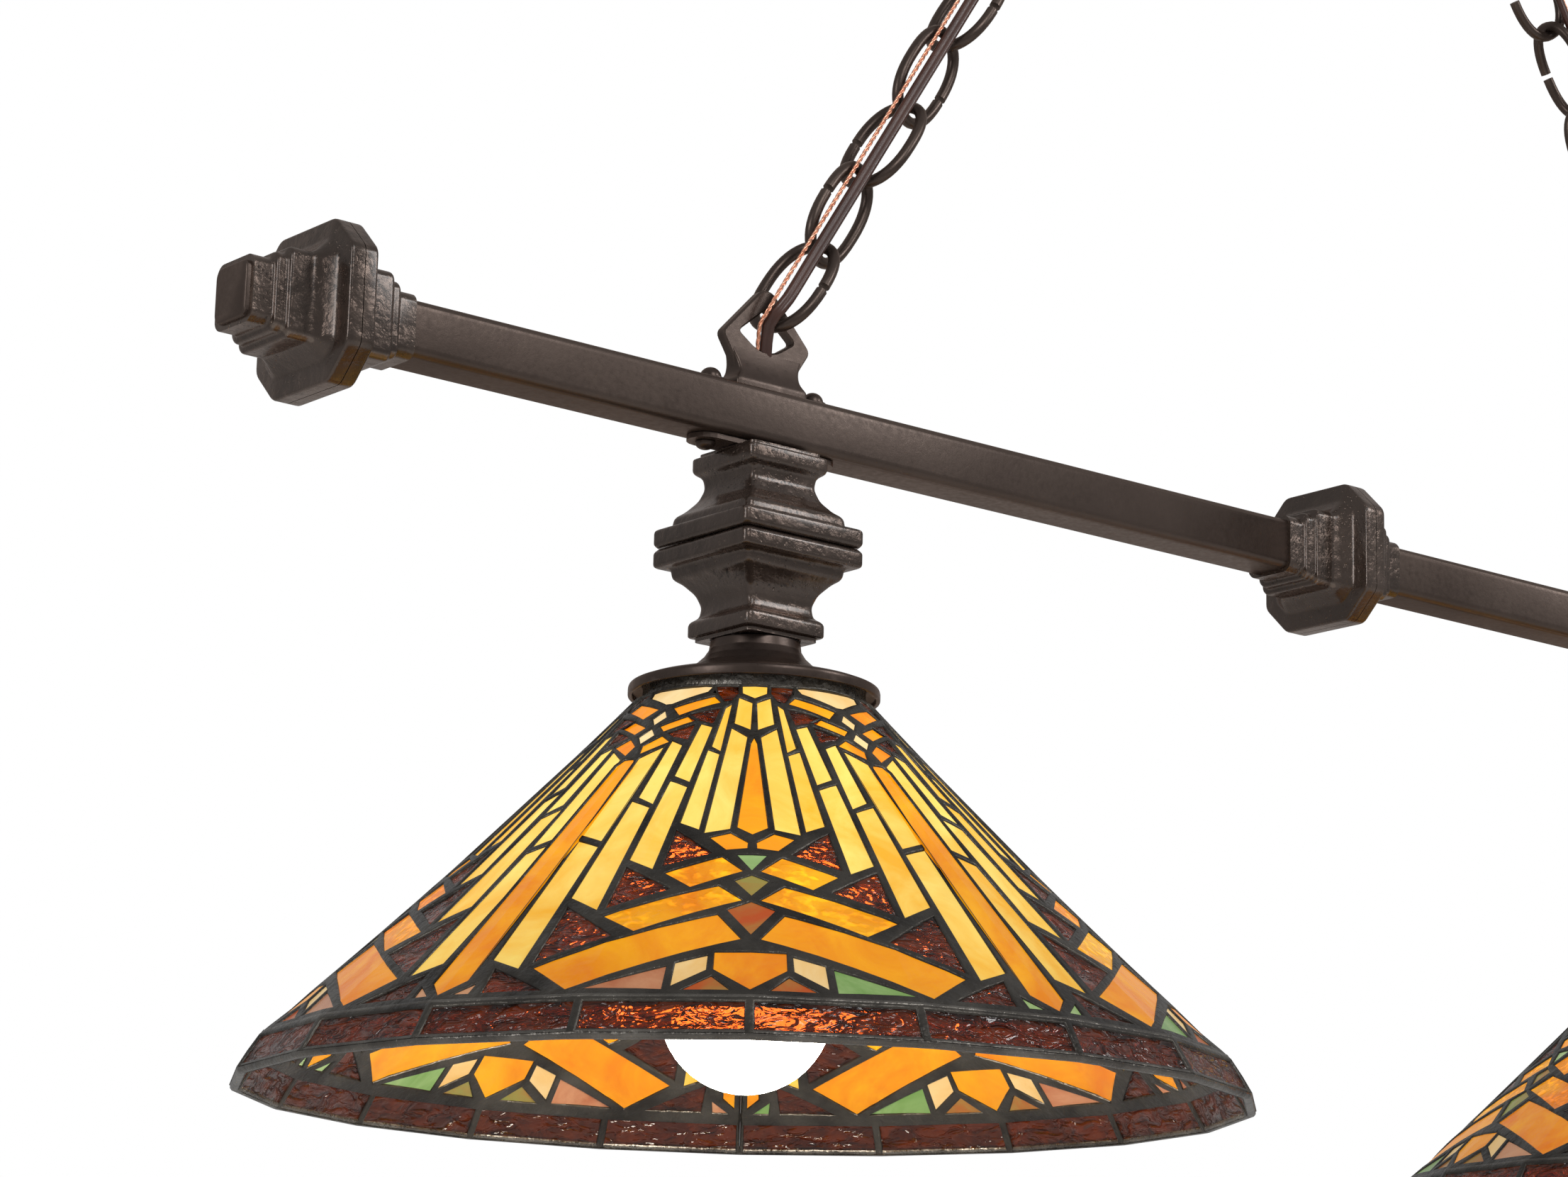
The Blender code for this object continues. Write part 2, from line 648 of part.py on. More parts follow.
def hang_on_axes():
    """Parent every piece that moves to an empty on its joint's axis."""
    axes = {"lamp_axis": (0, 0, RING_Z)}
    for name, side in SIDES:
        axes["shade_axis_" + name] = (side * SHADE_X, 0, RIM_Z)
        axes["bulb_axis_" + name] = (side * SHADE_X, 0, RIM_Z)
    empties = {name: new_object(name, None, LAMP, at) for name, at in axes.items()}
    for name, piece in PARTS.items():
        side = "left" if "left" in name else "right"
        if name.startswith(("canopy", "ceiling", "strap")):
            continue
        if name in ("shade_" + side, "shade_ring_" + side):
            parent = empties["shade_axis_" + side]
        elif name.startswith("bulb"):
            parent = empties["bulb_axis_" + side]
        else:
            parent = empties["lamp_axis"]
        piece.parent = parent
        piece.matrix_parent_inverse = Matrix.Translation(-parent.location)


def main():
    make_strap()
    make_canopy_dish()
    make_canopy_stem()
    make_canopy_loop()
    make_joiner()
    make_castings()
    for name, side in SIDES:
        make_chain(name, side)
        make_cords(name, side)
        make_bar(name, side)
        make_end_plate(name, side)
        make_hanger(name, side)
        make_mount_plate(name, side)
        make_neck(name, side)
        make_cap(name, side)
        make_shade(name, side)
        make_spider(name, side)
        make_socket(name, side)
        make_bulb(name, side)
    hang_on_axes()


for old in list(bpy.data.objects):
    bpy.data.objects.remove(old)
LAMP = bpy.data.collections.new("pool_table_lamp")
CUTTERS = bpy.data.collections.new("cutters")
bpy.context.scene.collection.children.link(LAMP)
bpy.context.scene.collection.children.link(CUTTERS)
MATERIALS = make_materials()
main()
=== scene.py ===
"""The looks of the pool table lamp: leaded glass shades, cast and tube metal, chain and cord.

The shades are drawn flat, on the developed cone, and then wrapped round it. Lengths are in
millimetres and turned into metres where a mesh is made. A place on a shade is given by its
slant, the distance up from the rim, and its turn in degrees from a sector's middle.
"""

import math

import bmesh
import bpy
from mathutils import Matrix, Vector
from mathutils.geometry import delaunay_2d_cdt


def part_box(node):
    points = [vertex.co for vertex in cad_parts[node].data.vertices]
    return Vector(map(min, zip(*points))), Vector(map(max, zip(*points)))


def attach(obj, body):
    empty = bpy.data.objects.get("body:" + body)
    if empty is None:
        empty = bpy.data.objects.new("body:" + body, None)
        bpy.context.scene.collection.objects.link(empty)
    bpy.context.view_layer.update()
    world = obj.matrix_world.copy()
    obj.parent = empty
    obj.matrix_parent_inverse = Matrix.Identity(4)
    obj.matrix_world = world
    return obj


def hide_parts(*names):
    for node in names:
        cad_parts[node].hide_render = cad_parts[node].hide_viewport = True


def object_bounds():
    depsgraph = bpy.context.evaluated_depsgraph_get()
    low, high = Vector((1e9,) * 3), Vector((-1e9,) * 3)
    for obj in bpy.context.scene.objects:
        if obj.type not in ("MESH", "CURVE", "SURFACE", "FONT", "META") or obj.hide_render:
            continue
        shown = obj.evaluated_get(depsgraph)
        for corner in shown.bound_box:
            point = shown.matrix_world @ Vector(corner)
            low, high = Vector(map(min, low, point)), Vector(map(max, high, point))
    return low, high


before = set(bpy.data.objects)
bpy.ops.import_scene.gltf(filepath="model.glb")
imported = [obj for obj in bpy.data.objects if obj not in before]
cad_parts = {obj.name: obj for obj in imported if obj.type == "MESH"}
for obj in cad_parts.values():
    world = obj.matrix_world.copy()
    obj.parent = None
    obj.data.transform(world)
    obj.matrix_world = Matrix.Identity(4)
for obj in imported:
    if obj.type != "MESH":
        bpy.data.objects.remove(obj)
CAD_LOW, CAD_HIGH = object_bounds()

MM = 0.001
SIDES = (("left", -1), ("right", 1))


def box_mm(node):
    """A CAD node's lowest and highest corner, in millimetres."""
    low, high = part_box(node)
    return Vector(low) / MM, Vector(high) / MM


# Places, taken from the frame.
SHADE_LOW, SHADE_HIGH = box_mm("shade_right")
SHADE_X = (SHADE_LOW.x + SHADE_HIGH.x) / 2
RIM_Z = SHADE_LOW.z
BAR_LOW, BAR_HIGH = box_mm("bar_right")
BAR_TOP = BAR_HIGH.z - RIM_Z
BAR_FLOOR = BAR_LOW.z - RIM_Z

# Shade.
RIM_R = 178
BAND_R, BAND_TOP = 170.5, 12.8
CONE_R, CONE_TOP = 42.5, 139.3
CONE_HOLLOW = 2.0
FRONT = -128.2
SECTORS = 5
DRAWN_SECTOR = 80
BORDER_PIECES = 20
GLASS_THICK = 2.4
GLASS_SINK = 1.7
LEAD_HALF = 1.9
LEAD_ROUND = 0.85
LEAD_LIP = 0.8
ROUND_STEPS = 3

BAND = math.hypot(RIM_R - BAND_R, BAND_TOP)
CONE = math.hypot(BAND_R - CONE_R, CONE_TOP - BAND_TOP)
NARROWING = (BAND_R - CONE_R) / CONE
APEX = BAND_R / NARROWING + BAND

# The bulb's middle, from which the glow painted on the glass round it is reckoned.
BULB_HEIGHT = 42
GLOW_REACH = 100


# Colours

def linear(colour):
    """A display colour of 0 to 255 as Blender's linear one."""
    channels = [c / 255 for c in colour[:3]]
    return tuple(c / 12.92 if c <= 0.04045 else ((c + 0.055) / 1.055) ** 2.4 for c in channels) + (1,)


LACQUER_TINT = linear((255, 226, 210))


# Materials

class Nodes:
    """A material's node tree, with short calls for the nodes that the looks are made of."""

    def __init__(self, name):
        self.material = bpy.data.materials.new(name)
        self.material.use_nodes = True
        self.tree = self.material.node_tree
        self.shader = self.tree.nodes["Principled BSDF"]
        self.place = self.tree.nodes.new("ShaderNodeTexCoord").outputs["Object"]

    def add(self, kind, inputs=(), **settings):
        node = self.tree.nodes.new(kind)
        for key, value in settings.items():
            setattr(node, key, value)
        for key, value in dict(inputs).items():
            self.put(node.inputs[key], value)
        return node

    def put(self, socket, value):
        """Link a socket to another node's, or give it a value."""
        if isinstance(value, bpy.types.NodeSocket):
            self.tree.links.new(value, socket)
        else:
            socket.default_value = value

    def set(self, **values):
        """Fill in the shader's inputs by name, with underscores for spaces."""
        for key, value in values.items():
            self.put(self.shader.inputs[key.replace("_", " ")], value)

    def noise(self, scale, detail=3, rough=0.55, stretch=(1, 1, 1), warp=0):
        place = self.add("ShaderNodeMapping", {"Vector": self.place, "Scale": stretch}).outputs[0]
        return self.add("ShaderNodeTexNoise", {"Vector": place, "Scale": scale, "Detail": detail,
                                               "Roughness": rough, "Distortion": warp}).outputs["Fac"]

    def spread(self, value, low, high, to_low=0.0, to_high=1.0):
        """A value's range from low to high, drawn out or pressed into another."""
        return self.add("ShaderNodeMapRange", {"Value": value, "From Min": low, "From Max": high,
                                               "To Min": to_low, "To Max": to_high}).outputs[0]

    def blend(self, factor, one, two):
        node = self.add("ShaderNodeMix", data_type="RGBA")
        self.put(node.inputs[0], factor)
        self.put(node.inputs[6], one)
        self.put(node.inputs[7], two)
        return node.outputs[2]

    def mottle(self, scale, detail, low, one, two):
        """Two display colours in cloudy patches."""
        return self.blend(self.spread(self.noise(scale, detail), low, 0.7), linear(one), linear(two))

    def combine(self, one, two, operation="MULTIPLY"):
        return self.add("ShaderNodeMath", {0: one, 1: two}, operation=operation).outputs[0]

    def bump(self, height, distance, strength=1.0, under=None):
        inputs = {"Height": height, "Distance": distance, "Strength": strength}
        if under is not None:
            inputs["Normal"] = under
        return self.add("ShaderNodeBump", inputs).outputs[0]

    def attribute(self, name):
        return self.add("ShaderNodeAttribute", attribute_name=name).outputs["Fac"]

    def island(self):
        """A number of its own for each separate piece of a mesh."""
        return self.add("ShaderNodeNewGeometry").outputs["Random Per Island"]

    def edges(self):
        """How much a point stands out from its surroundings: about 0.5 where the surface is flat."""
        return self.add("ShaderNodeNewGeometry").outputs["Pointiness"]


def painted_metal(name, grain, depth, rough=0.36):
    """Brown lacquered metal: mottled, lighter on its sharp edges, with the grain of its making."""
    n = Nodes(name)
    tone = n.mottle(24, 4, 0.35, (56, 47, 43), (71, 61, 56))
    # Lighter on sharp edges, where the surface stands out from its surroundings.
    edge_lightened = n.blend(n.spread(n.edges(), 0.54, 0.66), tone, linear((88, 77, 71)))
    fine = n.noise(grain, 5, 0.65)
    n.set(Base_Color=edge_lightened, Metallic=0.6, Specular_Tint=LACQUER_TINT,
          Roughness=n.spread(fine, 0.3, 0.75, rough - 0.08, rough + 0.12),
          Coat_Weight=0.08, Coat_Roughness=0.3, Normal=n.bump(fine, depth, 0.6))
    return n.material


def cast_metal(name):
    """The same lacquer over sand-cast iron, pitted and lumpy."""
    n = Nodes(name)
    tone = n.mottle(26, 4, 0.35, (54, 45, 40), (76, 65, 59))
    # Lighter on sharp edges, where the surface stands out from its surroundings.
    edge_lightened = n.blend(n.spread(n.edges(), 0.54, 0.66), tone, linear((98, 86, 78)))
    lumps = n.noise(190, 4, 0.55)
    patches = n.spread(n.noise(36, 3), 0.42, 0.6)
    pits = n.add("ShaderNodeTexVoronoi", {"Vector": n.place, "Scale": 480.0}).outputs["Distance"]
    rise = n.bump(lumps, 0.0009, 0.8)
    rise = n.bump(n.combine(n.spread(pits, 0.0, 0.3), patches), 0.0005, 0.8, rise)
    n.set(Base_Color=edge_lightened, Metallic=0.6, Specular_Tint=LACQUER_TINT,
          Roughness=n.spread(lumps, 0.3, 0.7, 0.2, 0.36), Coat_Weight=0.5, Coat_Roughness=0.16, Normal=rise)
    return n.material


def lead_metal(name, tone, bright, rough):
    """Solder over copper foil: wavy from the iron, patinated, lighter and darker in cloudy patches."""
    n = Nodes(name)
    wave = n.noise(160, 3, 0.5, warp=0.3)
    fine = n.noise(900, 3, 0.6)
    shade = n.mottle(45, 4, 0.35, tone, bright)
    n.set(Base_Color=shade, Metallic=0.75, Roughness=n.spread(fine, 0.3, 0.75, rough - 0.08, rough + 0.15),
          Normal=n.bump(fine, 0.0002, 0.6, n.bump(wave, 0.0012)))
    return n.material


def plain_metal(name, tone, rough):
    """Plated or bare metal, faintly cloudy."""
    n = Nodes(name)
    fine = n.noise(700, 4, 0.6)
    shade = n.mottle(40, 3, 0.3, tone, [c * 0.8 for c in tone])
    n.set(Base_Color=shade, Metallic=0.9, Roughness=n.spread(fine, 0.3, 0.7, rough - 0.07, rough + 0.1),
          Normal=n.bump(fine, 0.00015, 0.5))
    return n.material


def opal_glass(name, deep, pale, glow, streak=(1, 1, 1), ripple=0.0):
    """Streaky opal glass, glossy on its face, with the bulb's light through it painted on as a glow."""
    n = Nodes(name)
    wisps = n.noise(38, 5, 0.6, streak, 0.8)
    clouds = n.noise(11, 3, 0.5)
    own = n.spread(n.island(), 0.0, 1.0, -0.22, 0.22)
    mixed = n.combine(n.spread(wisps, 0.3, 0.72), own, "ADD")
    colour = n.blend(n.spread(mixed, 0.0, 1.0), linear(deep), linear(pale))
    # Painted glow: the glass shines by itself, brighter nearer the bulb, in place of the bulb's light
    # through it.
    light = n.combine(n.attribute("glow"), n.spread(clouds, 0.3, 0.7, glow * 0.85, glow * 1.15))
    rise = n.bump(n.noise(120, 3, 0.55), 0.0006)
    if ripple:
        dents = n.noise(230, 2, 0.4, (1, 1, 1.6), 0.4)
        rise = n.bump(dents, 0.0016, ripple, rise)
        # Painted glints: the dents shine brighter where the bulb is near.
        near = n.combine(n.attribute("glow"), 2.0, "POWER")
        glints = n.combine(n.spread(dents, 0.5, 0.66, 0.0, 1.2), near)
        light = n.combine(light, n.combine(glints, 0.92, "ADD"))
    n.set(Base_Color=n.blend(0.6, colour, linear((30, 14, 2))), Roughness=0.24, IOR=1.35,
          Coat_Weight=0.12, Coat_Roughness=0.08, Emission_Color=colour, Emission_Strength=light,
          Normal=rise)
    return n.material


def ripple_glass(name):
    """Dark brown glass with a hammered, rippled face: the bulb is seen through it, and a glow of its light
    is painted on the folds.
    """
    n = Nodes(name)
    folds = n.noise(150, 2, 0.45, (0.7, 0.7, 1.7), 1.0)
    fine = n.noise(520, 2, 0.5)
    rise = n.bump(fine, 0.0002, 0.5, n.bump(folds, 0.0034))
    own = n.spread(n.island(), 0.0, 1.0, 0.0, 0.6)
    colour = n.blend(own, linear((104, 38, 6)), linear((60, 22, 5)))
    # Painted glow: the folds shine orange, more so nearer the bulb.
    painted_bulb_glow = n.combine(n.attribute("glow"), n.spread(folds, 0.42, 0.66, 0.005, 0.16))
    n.set(Base_Color=colour, Roughness=0.09, IOR=1.42, Transmission_Weight=0.96,
          Coat_Weight=0.1, Coat_Roughness=0.05, Emission_Color=linear((200, 84, 12)),
          Emission_Strength=painted_bulb_glow, Normal=rise)
    return n.material


def bulb_glass(name):
    """White frosted glass of a lit bulb."""
    n = Nodes(name)
    haze = n.spread(n.noise(60, 2), 0.3, 0.7, 27.0, 31.0)
    n.set(Base_Color=linear((255, 250, 240)), Roughness=0.3, Emission_Color=linear((255, 247, 232)),
          Emission_Strength=haze)
    return n.material


def cord_plastic(name):
    """Brown plastic insulation with a slight sheen."""
    n = Nodes(name)
    fine = n.noise(900, 3)
    tone = n.mottle(60, 3, 0.3, (52, 28, 22), (70, 40, 30))
    n.set(Base_Color=tone, Roughness=n.spread(fine, 0.3, 0.7, 0.28, 0.4),
          Normal=n.bump(fine, 0.0001, 0.4))
    return n.material


def copper_wire(name):
    """Bare copper strands under a clear jacket."""
    n = Nodes(name)
    tone = n.mottle(240, 3, 0.3, (214, 138, 104), (236, 176, 146))
    n.set(Base_Color=tone, Metallic=0.85, Roughness=0.3, Coat_Weight=0.8, Coat_Roughness=0.12)
    return n.material


def make_materials():
    return {
        "metal": painted_metal("brown_lacquer", 420, 0.00012),
        "smooth": painted_metal("brown_lacquer_smooth", 260, 0.0001, 0.33),
        "cast": cast_metal("brown_cast_iron"),
        "lead": lead_metal("patinated_lead", (50, 47, 44), (86, 82, 76), 0.36),
        "tinned": lead_metal("tinned_rim", (76, 72, 68), (120, 116, 110), 0.3),
        "steel": plain_metal("zinc_plate", (176, 176, 170), 0.32),
        "brass": plain_metal("socket_brass", (198, 164, 96), 0.3),
        "cream": opal_glass("cream_opal", (246, 178, 40), (255, 222, 112), 0.92, (1, 1, 0.35)),
        "amber": opal_glass("amber_opal", (230, 124, 0), (250, 172, 10), 0.92, (1, 1, 0.5)),
        "hammered": opal_glass("amber_hammered", (232, 126, 0), (252, 184, 18), 0.92, (1, 1, 0.7), 0.8),
        "green": opal_glass("green_opal", (120, 168, 84), (190, 220, 150), 0.5, (1, 0.5, 1)),
        "pink": opal_glass("pink_opal", (190, 96, 56), (240, 176, 130), 0.45, (1, 0.5, 1)),
        "mixed": opal_glass("red_green_opal", (200, 84, 26), (150, 168, 84), 0.55, (0.6, 1, 1)),
        "pale": opal_glass("pale_opal", (240, 190, 110), (254, 226, 168), 0.8, (1, 1, 0.6)),
        "brown": ripple_glass("brown_ripple"),
        "bulb": bulb_glass("lit_bulb"),
        "cord": cord_plastic("brown_cord"),
        "copper": copper_wire("bare_copper"),
    }


# Mesh helpers

def add_object(name, mesh, material, body, smooth=40):
    """Link a mesh built in millimetres, give it its material and let it ride on a body."""
    mesh.transform(Matrix.Scale(MM, 4))
    thing = bpy.data.objects.new(name, mesh)
    bpy.context.scene.collection.objects.link(thing)
    mesh.materials.append(MATERIALS[material])
    if smooth:
        mesh.shade_smooth()
        mesh.set_sharp_from_angle(angle=math.radians(smooth))
    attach(thing, body)
    return thing


def stand_in(name, bm, material, body, node, smooth):
    """Make a finer piece from a mesh and put it in a CAD node's place."""
    piece = add_object(name, mesh_from(bm), material, body, smooth)
    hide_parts(node)


def mesh_from(bm, name="mesh"):
    """A mesh with its faces turned outward; the bmesh is used up."""
    bmesh.ops.recalc_face_normals(bm, faces=bm.faces)
    mesh = bpy.data.meshes.new(name)
    bm.to_mesh(mesh)
    bm.free()
    return mesh


def lathe(bm, profile, steps, at=(0, 0, 0)):
    """A closed profile of (radius, height) points turned about the vertical axis."""
    rings = []
    for i in range(steps):
        a = 2 * math.pi * i / steps
        rings.append([bm.verts.new((at[0] + r * math.cos(a), at[1] + r * math.sin(a), at[2] + z))
                      for r, z in profile])
    count = len(profile)
    for i in range(steps):
        one, two = rings[i], rings[(i + 1) % steps]
        for j in range(count):
            k = (j + 1) % count
            if profile[j][0] or profile[k][0]:
                bm.faces.new((one[j], two[j], two[k], one[k]))
    bmesh.ops.remove_doubles(bm, verts=bm.verts, dist=0.001)


def corner(a, b, c, radius, steps):
    """The points of a rounded corner at b, between a and c."""
    reach = min(radius, (a - b).length * 0.45, (c - b).length * 0.45)
    start, end = b + (a - b).normalized() * reach, b + (c - b).normalized() * reach
    parts = [k / steps for k in range(steps + 1)]
    return [start * (1 - t) ** 2 + b * (2 * t * (1 - t)) + end * t**2 for t in parts]


def eased(points, radius, steps=4, closed=False):
    """A run of points with its corners rounded, by at most the given radius."""
    points = [Vector(p) for p in points]
    count = len(points)
    result = []
    for i, b in enumerate(points):
        if not closed and i in (0, count - 1):
            result.append(b)
        else:
            result += corner(points[i - 1], b, points[(i + 1) % count], radius, steps)
    return result


def rounded(profile, radius, steps=3):
    """A turned piece's profile with its corners rounded, except on the axis."""
    points = [Vector(p) for p in profile]
    result = []
    for i, b in enumerate(points):
        if b.x < 0.01:
            result.append(tuple(b))
        else:
            bend = corner(points[i - 1], b, points[(i + 1) % len(points)], radius, steps)
            result += [tuple(p) for p in bend]
    return result


def frames_along(points, closed, up=Vector((0, 0, 1))):
    """Two directions square to a route at each of its points, turned as little as possible."""
    count = len(points)
    sides = []
    side = None
    for i in range(count):
        if closed:
            along = points[(i + 1) % count] - points[i - 1]
        else:
            along = points[min(i + 1, count - 1)] - points[max(i - 1, 0)]
        along.normalize()
        side = side if side is not None else (up if abs(up.dot(along)) < 0.9 else Vector((1, 0, 0)))
        side = (side - along * side.dot(along)).normalized()
        sides.append((side, along.cross(side)))
    return sides


def sweep(bm, points, section, closed=False, frames=None):
    """A section, a closed loop of (side, over) offsets, carried along a route."""
    frames = frames or frames_along(points, closed)
    rings = [[bm.verts.new(p + a * u + b * v) for u, v in section]
             for p, (a, b) in zip(points, frames)]
    count = len(section)
    spans = len(points) if closed else len(points) - 1
    for i in range(spans):
        one, two = rings[i], rings[(i + 1) % len(points)]
        for j in range(count):
            k = (j + 1) % count
            bm.faces.new((one[j], one[k], two[k], two[j]))
    if not closed:
        bm.faces.new(rings[0])
        bm.faces.new(list(reversed(rings[-1])))


def ring_section(radius, count):
    """A round section for a sweep."""
    turns = [2 * math.pi * i / count for i in range(count)]
    return [(radius * math.cos(a), radius * math.sin(a)) for a in turns]


def stitch(bm, one, two):
    """Join two loops of points, one for one."""
    for i in range(len(one)):
        k = (i + 1) % len(one)
        bm.faces.new((one[i], one[k], two[k], two[i]))


def loft(bm, rings):
    """A closed skin over rings of points."""
    loops = [[bm.verts.new(p) for p in ring] for ring in rings]
    for one, two in zip(loops, loops[1:]):
        stitch(bm, one, two)
    bm.faces.new(loops[0])
    bm.faces.new(loops[-1])


# Shade surface

def raw_profile(slant):
    """Radius and height of the outer glass line, at a slant distance up from the rim."""
    if slant < BAND:
        t = slant / BAND
        return Vector((RIM_R + (BAND_R - RIM_R) * t, BAND_TOP * t))
    t = (slant - BAND) / CONE
    sag = CONE_HOLLOW * 4 * t * (1 - t)
    run, rise = BAND_R - CONE_R, CONE_TOP - BAND_TOP
    return Vector((BAND_R - run * t - rise / CONE * sag, BAND_TOP + rise * t - run / CONE * sag))


def facet(turn):
    """How much nearer the axis a flat border piece lies at a turn than its corners do."""
    half = math.pi / BORDER_PIECES
    off = (turn - math.radians(FRONT)) % (2 * half) - half
    return 1 - math.cos(half) / math.cos(off)


def shade_point(slant, turn, lift):
    """A point on the shade's own axes; turn is an angle in radians, lift is out from the glass."""
    reach = 1.5
    slant = max(slant, LOWEST_SLANT)
    here = sum((raw_profile(slant + d) for d in (-reach, 0, reach)), Vector((0, 0))) / 3
    slope = raw_profile(slant + reach) - raw_profile(slant - reach)
    out = Vector((slope.y, -slope.x)).normalized()
    radius, height = here + out * lift
    # The facets of the border fade over 22 mm above it, down to a quarter.
    radius *= 1 - facet(turn) * max(0.25, min(1, 1.6 - slant / 30))
    return Vector((radius * math.cos(turn), radius * math.sin(turn), height))


def flat_place(slant, turn):
    """Where a slant and a turn in degrees lie on the developed cone."""
    swept = math.radians(turn) * NARROWING
    reach = APEX - slant
    return Vector((reach * math.cos(swept), reach * math.sin(swept)))


def wrap(bm):
    """Carry a mesh from the developed cone onto the shade, its z becoming the lift."""
    for v in bm.verts:
        reach = math.hypot(v.co.x, v.co.y)
        turn = math.atan2(v.co.y, v.co.x) / NARROWING
        v.co = shade_point(APEX - reach, turn + math.radians(FRONT), v.co.z)


def cut(bm, point, normal):
    """Cut a mesh's faces where a plane crosses them."""
    geometry = list(bm.verts) + list(bm.edges) + list(bm.faces)
    bmesh.ops.bisect_plane(bm, geom=geometry, dist=0.0001, plane_co=point, plane_no=normal)


# Shade pattern: visible outlines of the glass, for one half of a sector that is drawn
# 80 degrees wide. Each point is a turn in degrees from the sector's middle and a slant in mm.
MIDDLE_PIECES = (
    ("amber", ((0, 21.4), (4.6, 32), (4.7, 41.2))),
    ("mixed", ((0, 51.4), (3.6, 64.6), (0, 69.2))),
    ("mixed", ((0, 72.8), (2.8, 80.8), (0, 84))),
    ("green", ((0, 87), (2.7, 95.4))),
    ("amber", ((0, 107.2), (3.1, 111), (0.9, 159.4), (0, 162.6))),
    ("cream", ((0, 186.2), (5.5, 189), (6.1, 194))),
)
HALF_PIECES = (
    ("pale", ((5.6, 39.3), (9.6, 35.2), (9.6, 23), (5.6, 31.6))),
    ("mixed", ((4.8, 28.2), (2.4, 20.9), (8.2, 20.9))),
    ("side", ((10.7, 33.4), (20.3, 21.4), (10.7, 21.2))),
    ("amber", ((1.35, 48.6), (5, 61.8), (28.6, 33.8), (22.4, 21.4))),
    ("hammered", ((1.4, 70), (5.4, 77.8), (22.2, 61.3), (16.6, 52.8))),
    ("hammered", ((1.5, 86.3), (5.5, 94.1), (15, 85), (10, 77.2))),
    ("amber", ((0.9, 102.5), (4.4, 107.6), (8.3, 105), (4.8, 98.2), (1, 99.2))),
    ("brown", ((15.6, 109.2), (7.4, 96.2), (16, 88.7))),
    ("brown", ((22.5, 88.6), (13.2, 76), (22.6, 65.6))),
    ("brown", ((29.3, 67.4), (19.6, 50.4), (29.2, 36.7))),
    ("brown", ((34.4, 34.6), (25.6, 21), (34, 21.4))),
    ("side", ((35.6, 26.6), (35.8, 21.2), (38, 21.2))),
    ("cream", ((2.4, 163.3), (8, 168.3), (9.7, 107.6), (4.7, 110))),
    ("cream", ((1.1, 183.4), (7, 186.3), (7.2, 171.2), (1.4, 167.7))),
    ("cream", ((9.9, 182.3), (12, 180.3), (13.3, 157.8), (10.4, 155.2))),
    ("cream", ((10.5, 153.2), (14.2, 155.6), (15.3, 113.5), (11.1, 109.8))),
    ("cream", ((15.3, 169.2), (19.7, 171), (21.3, 141), (16.7, 137.4))),
    ("cream", ((16.8, 134.3), (21.9, 138), (22.6, 93), (17.6, 87.6))),
    ("cream", ((23.6, 159), (27.9, 161.8), (28.4, 129.4), (23.8, 125.2))),
    ("cream", ((24.2, 123), (29.6, 127.2), (29.7, 72.7), (24, 65.3))),
    ("cream", ((29.9, 158.6), (36.4, 152.8), (36.6, 109), (31.2, 105))),
    ("cream", ((31.1, 101.5), (36.6, 105.6), (35.7, 39.6), (30.9, 34.1))),
    ("amber", ((14.9, 183.6), (18.7, 187.1), (36.0, 181.9), (31, 177.2))),
    ("brown", ((14.2, 180.2), (26.6, 177.0), (23.9, 174.2), (20.4, 173), (15.4, 171.4))),
    ("amber", ((22.7, 173.3), (27.1, 175.9), (36.6, 171.3), (33.6, 168))),
    ("brown", ((22.3, 171), (31.4, 166.9), (28.6, 164.6), (22.6, 162.4))),
    ("amber", ((28.9, 161.4), (33.2, 165.2), (38.4, 160.2), (37.3, 155.4))),
    ("brown", ((8.4, 194), (7.8, 189.2), (10.4, 184.8), (13, 184.2), (17.3, 189.2), (19.2, 194))),
)
BOUNDARY_PIECES = (
    ("amber", ((40, 21.2), (37.3, 28.4), (36.9, 149.4), (38.4, 152.4))),
    ("pale", ((40, 172.4), (36.8, 176.4), (40, 180.6))),
    ("pale", ((40, 161.6), (36.8, 166), (40, 170.2))),
    ("pale", ((21.6, 194), (23.2, 190.2), (38.4, 184.6))),
)
BORDER = (1.9, 15.0)
LOWEST_SLANT = 2.6
BORDER_GAP = 1.6
TOP_EDGE = 193.6
TOP_LAP = 0.5
DRAWING_SEAM, DRAWING_GAP = 180, 0.9

# Beads of solder round the shade: slant, lift from the glass, radius and sides of the section.
BEADS = ((3.2, -GLASS_SINK, 1.7, 10), (17.6, 0.4 - GLASS_SINK, 1.7, 10),
         (TOP_EDGE - 0.4, -GLASS_SINK, 1.1, 8))


def fitted(outline, shift=0, flip=1):
    """A drawn outline at its real turn, in a sector, mirrored if flip is -1."""
    scale = 360 / SECTORS / DRAWN_SECTOR
    return [(turn * flip * scale + shift, min(slant, TOP_EDGE - TOP_LAP)) for turn, slant in outline]


def mirrored(outline, about):
    """An outline that ends on its mirror line, with its other half added."""
    back = [(2 * about - turn, slant) for turn, slant in reversed(outline) if abs(turn - about) > 0.01]
    return list(outline) + back


def side_glass(flip, sector):
    """The lower corner pieces are pink on one side of a sector and green on the other."""
    return "pink" if flip * (1 if sector % 2 else -1) > 0 else "green"


def split_at_seam(outline):
    """Halves of an outline on both sides of the flat drawing's seam, each with a gap to it."""
    turns = [t for t, _ in outline]
    if not min(turns) < DRAWING_SEAM < max(turns):
        return [outline]
    halves = []
    for way in (-1, 1):
        line = DRAWING_SEAM + way * DRAWING_GAP
        kept = []
        for (t1, s1), (t2, s2) in zip(outline, outline[1:] + outline[:1]):
            inside1, inside2 = (t1 - line) * way >= 0, (t2 - line) * way >= 0
            if inside1:
                kept.append((t1, s1))
            if inside1 != inside2:
                part = (line - t1) / (t2 - t1)
                kept.append((line, s1 + (s2 - s1) * part))
        halves.append([(t - 360 if way > 0 else t, s) for t, s in kept])
    return halves


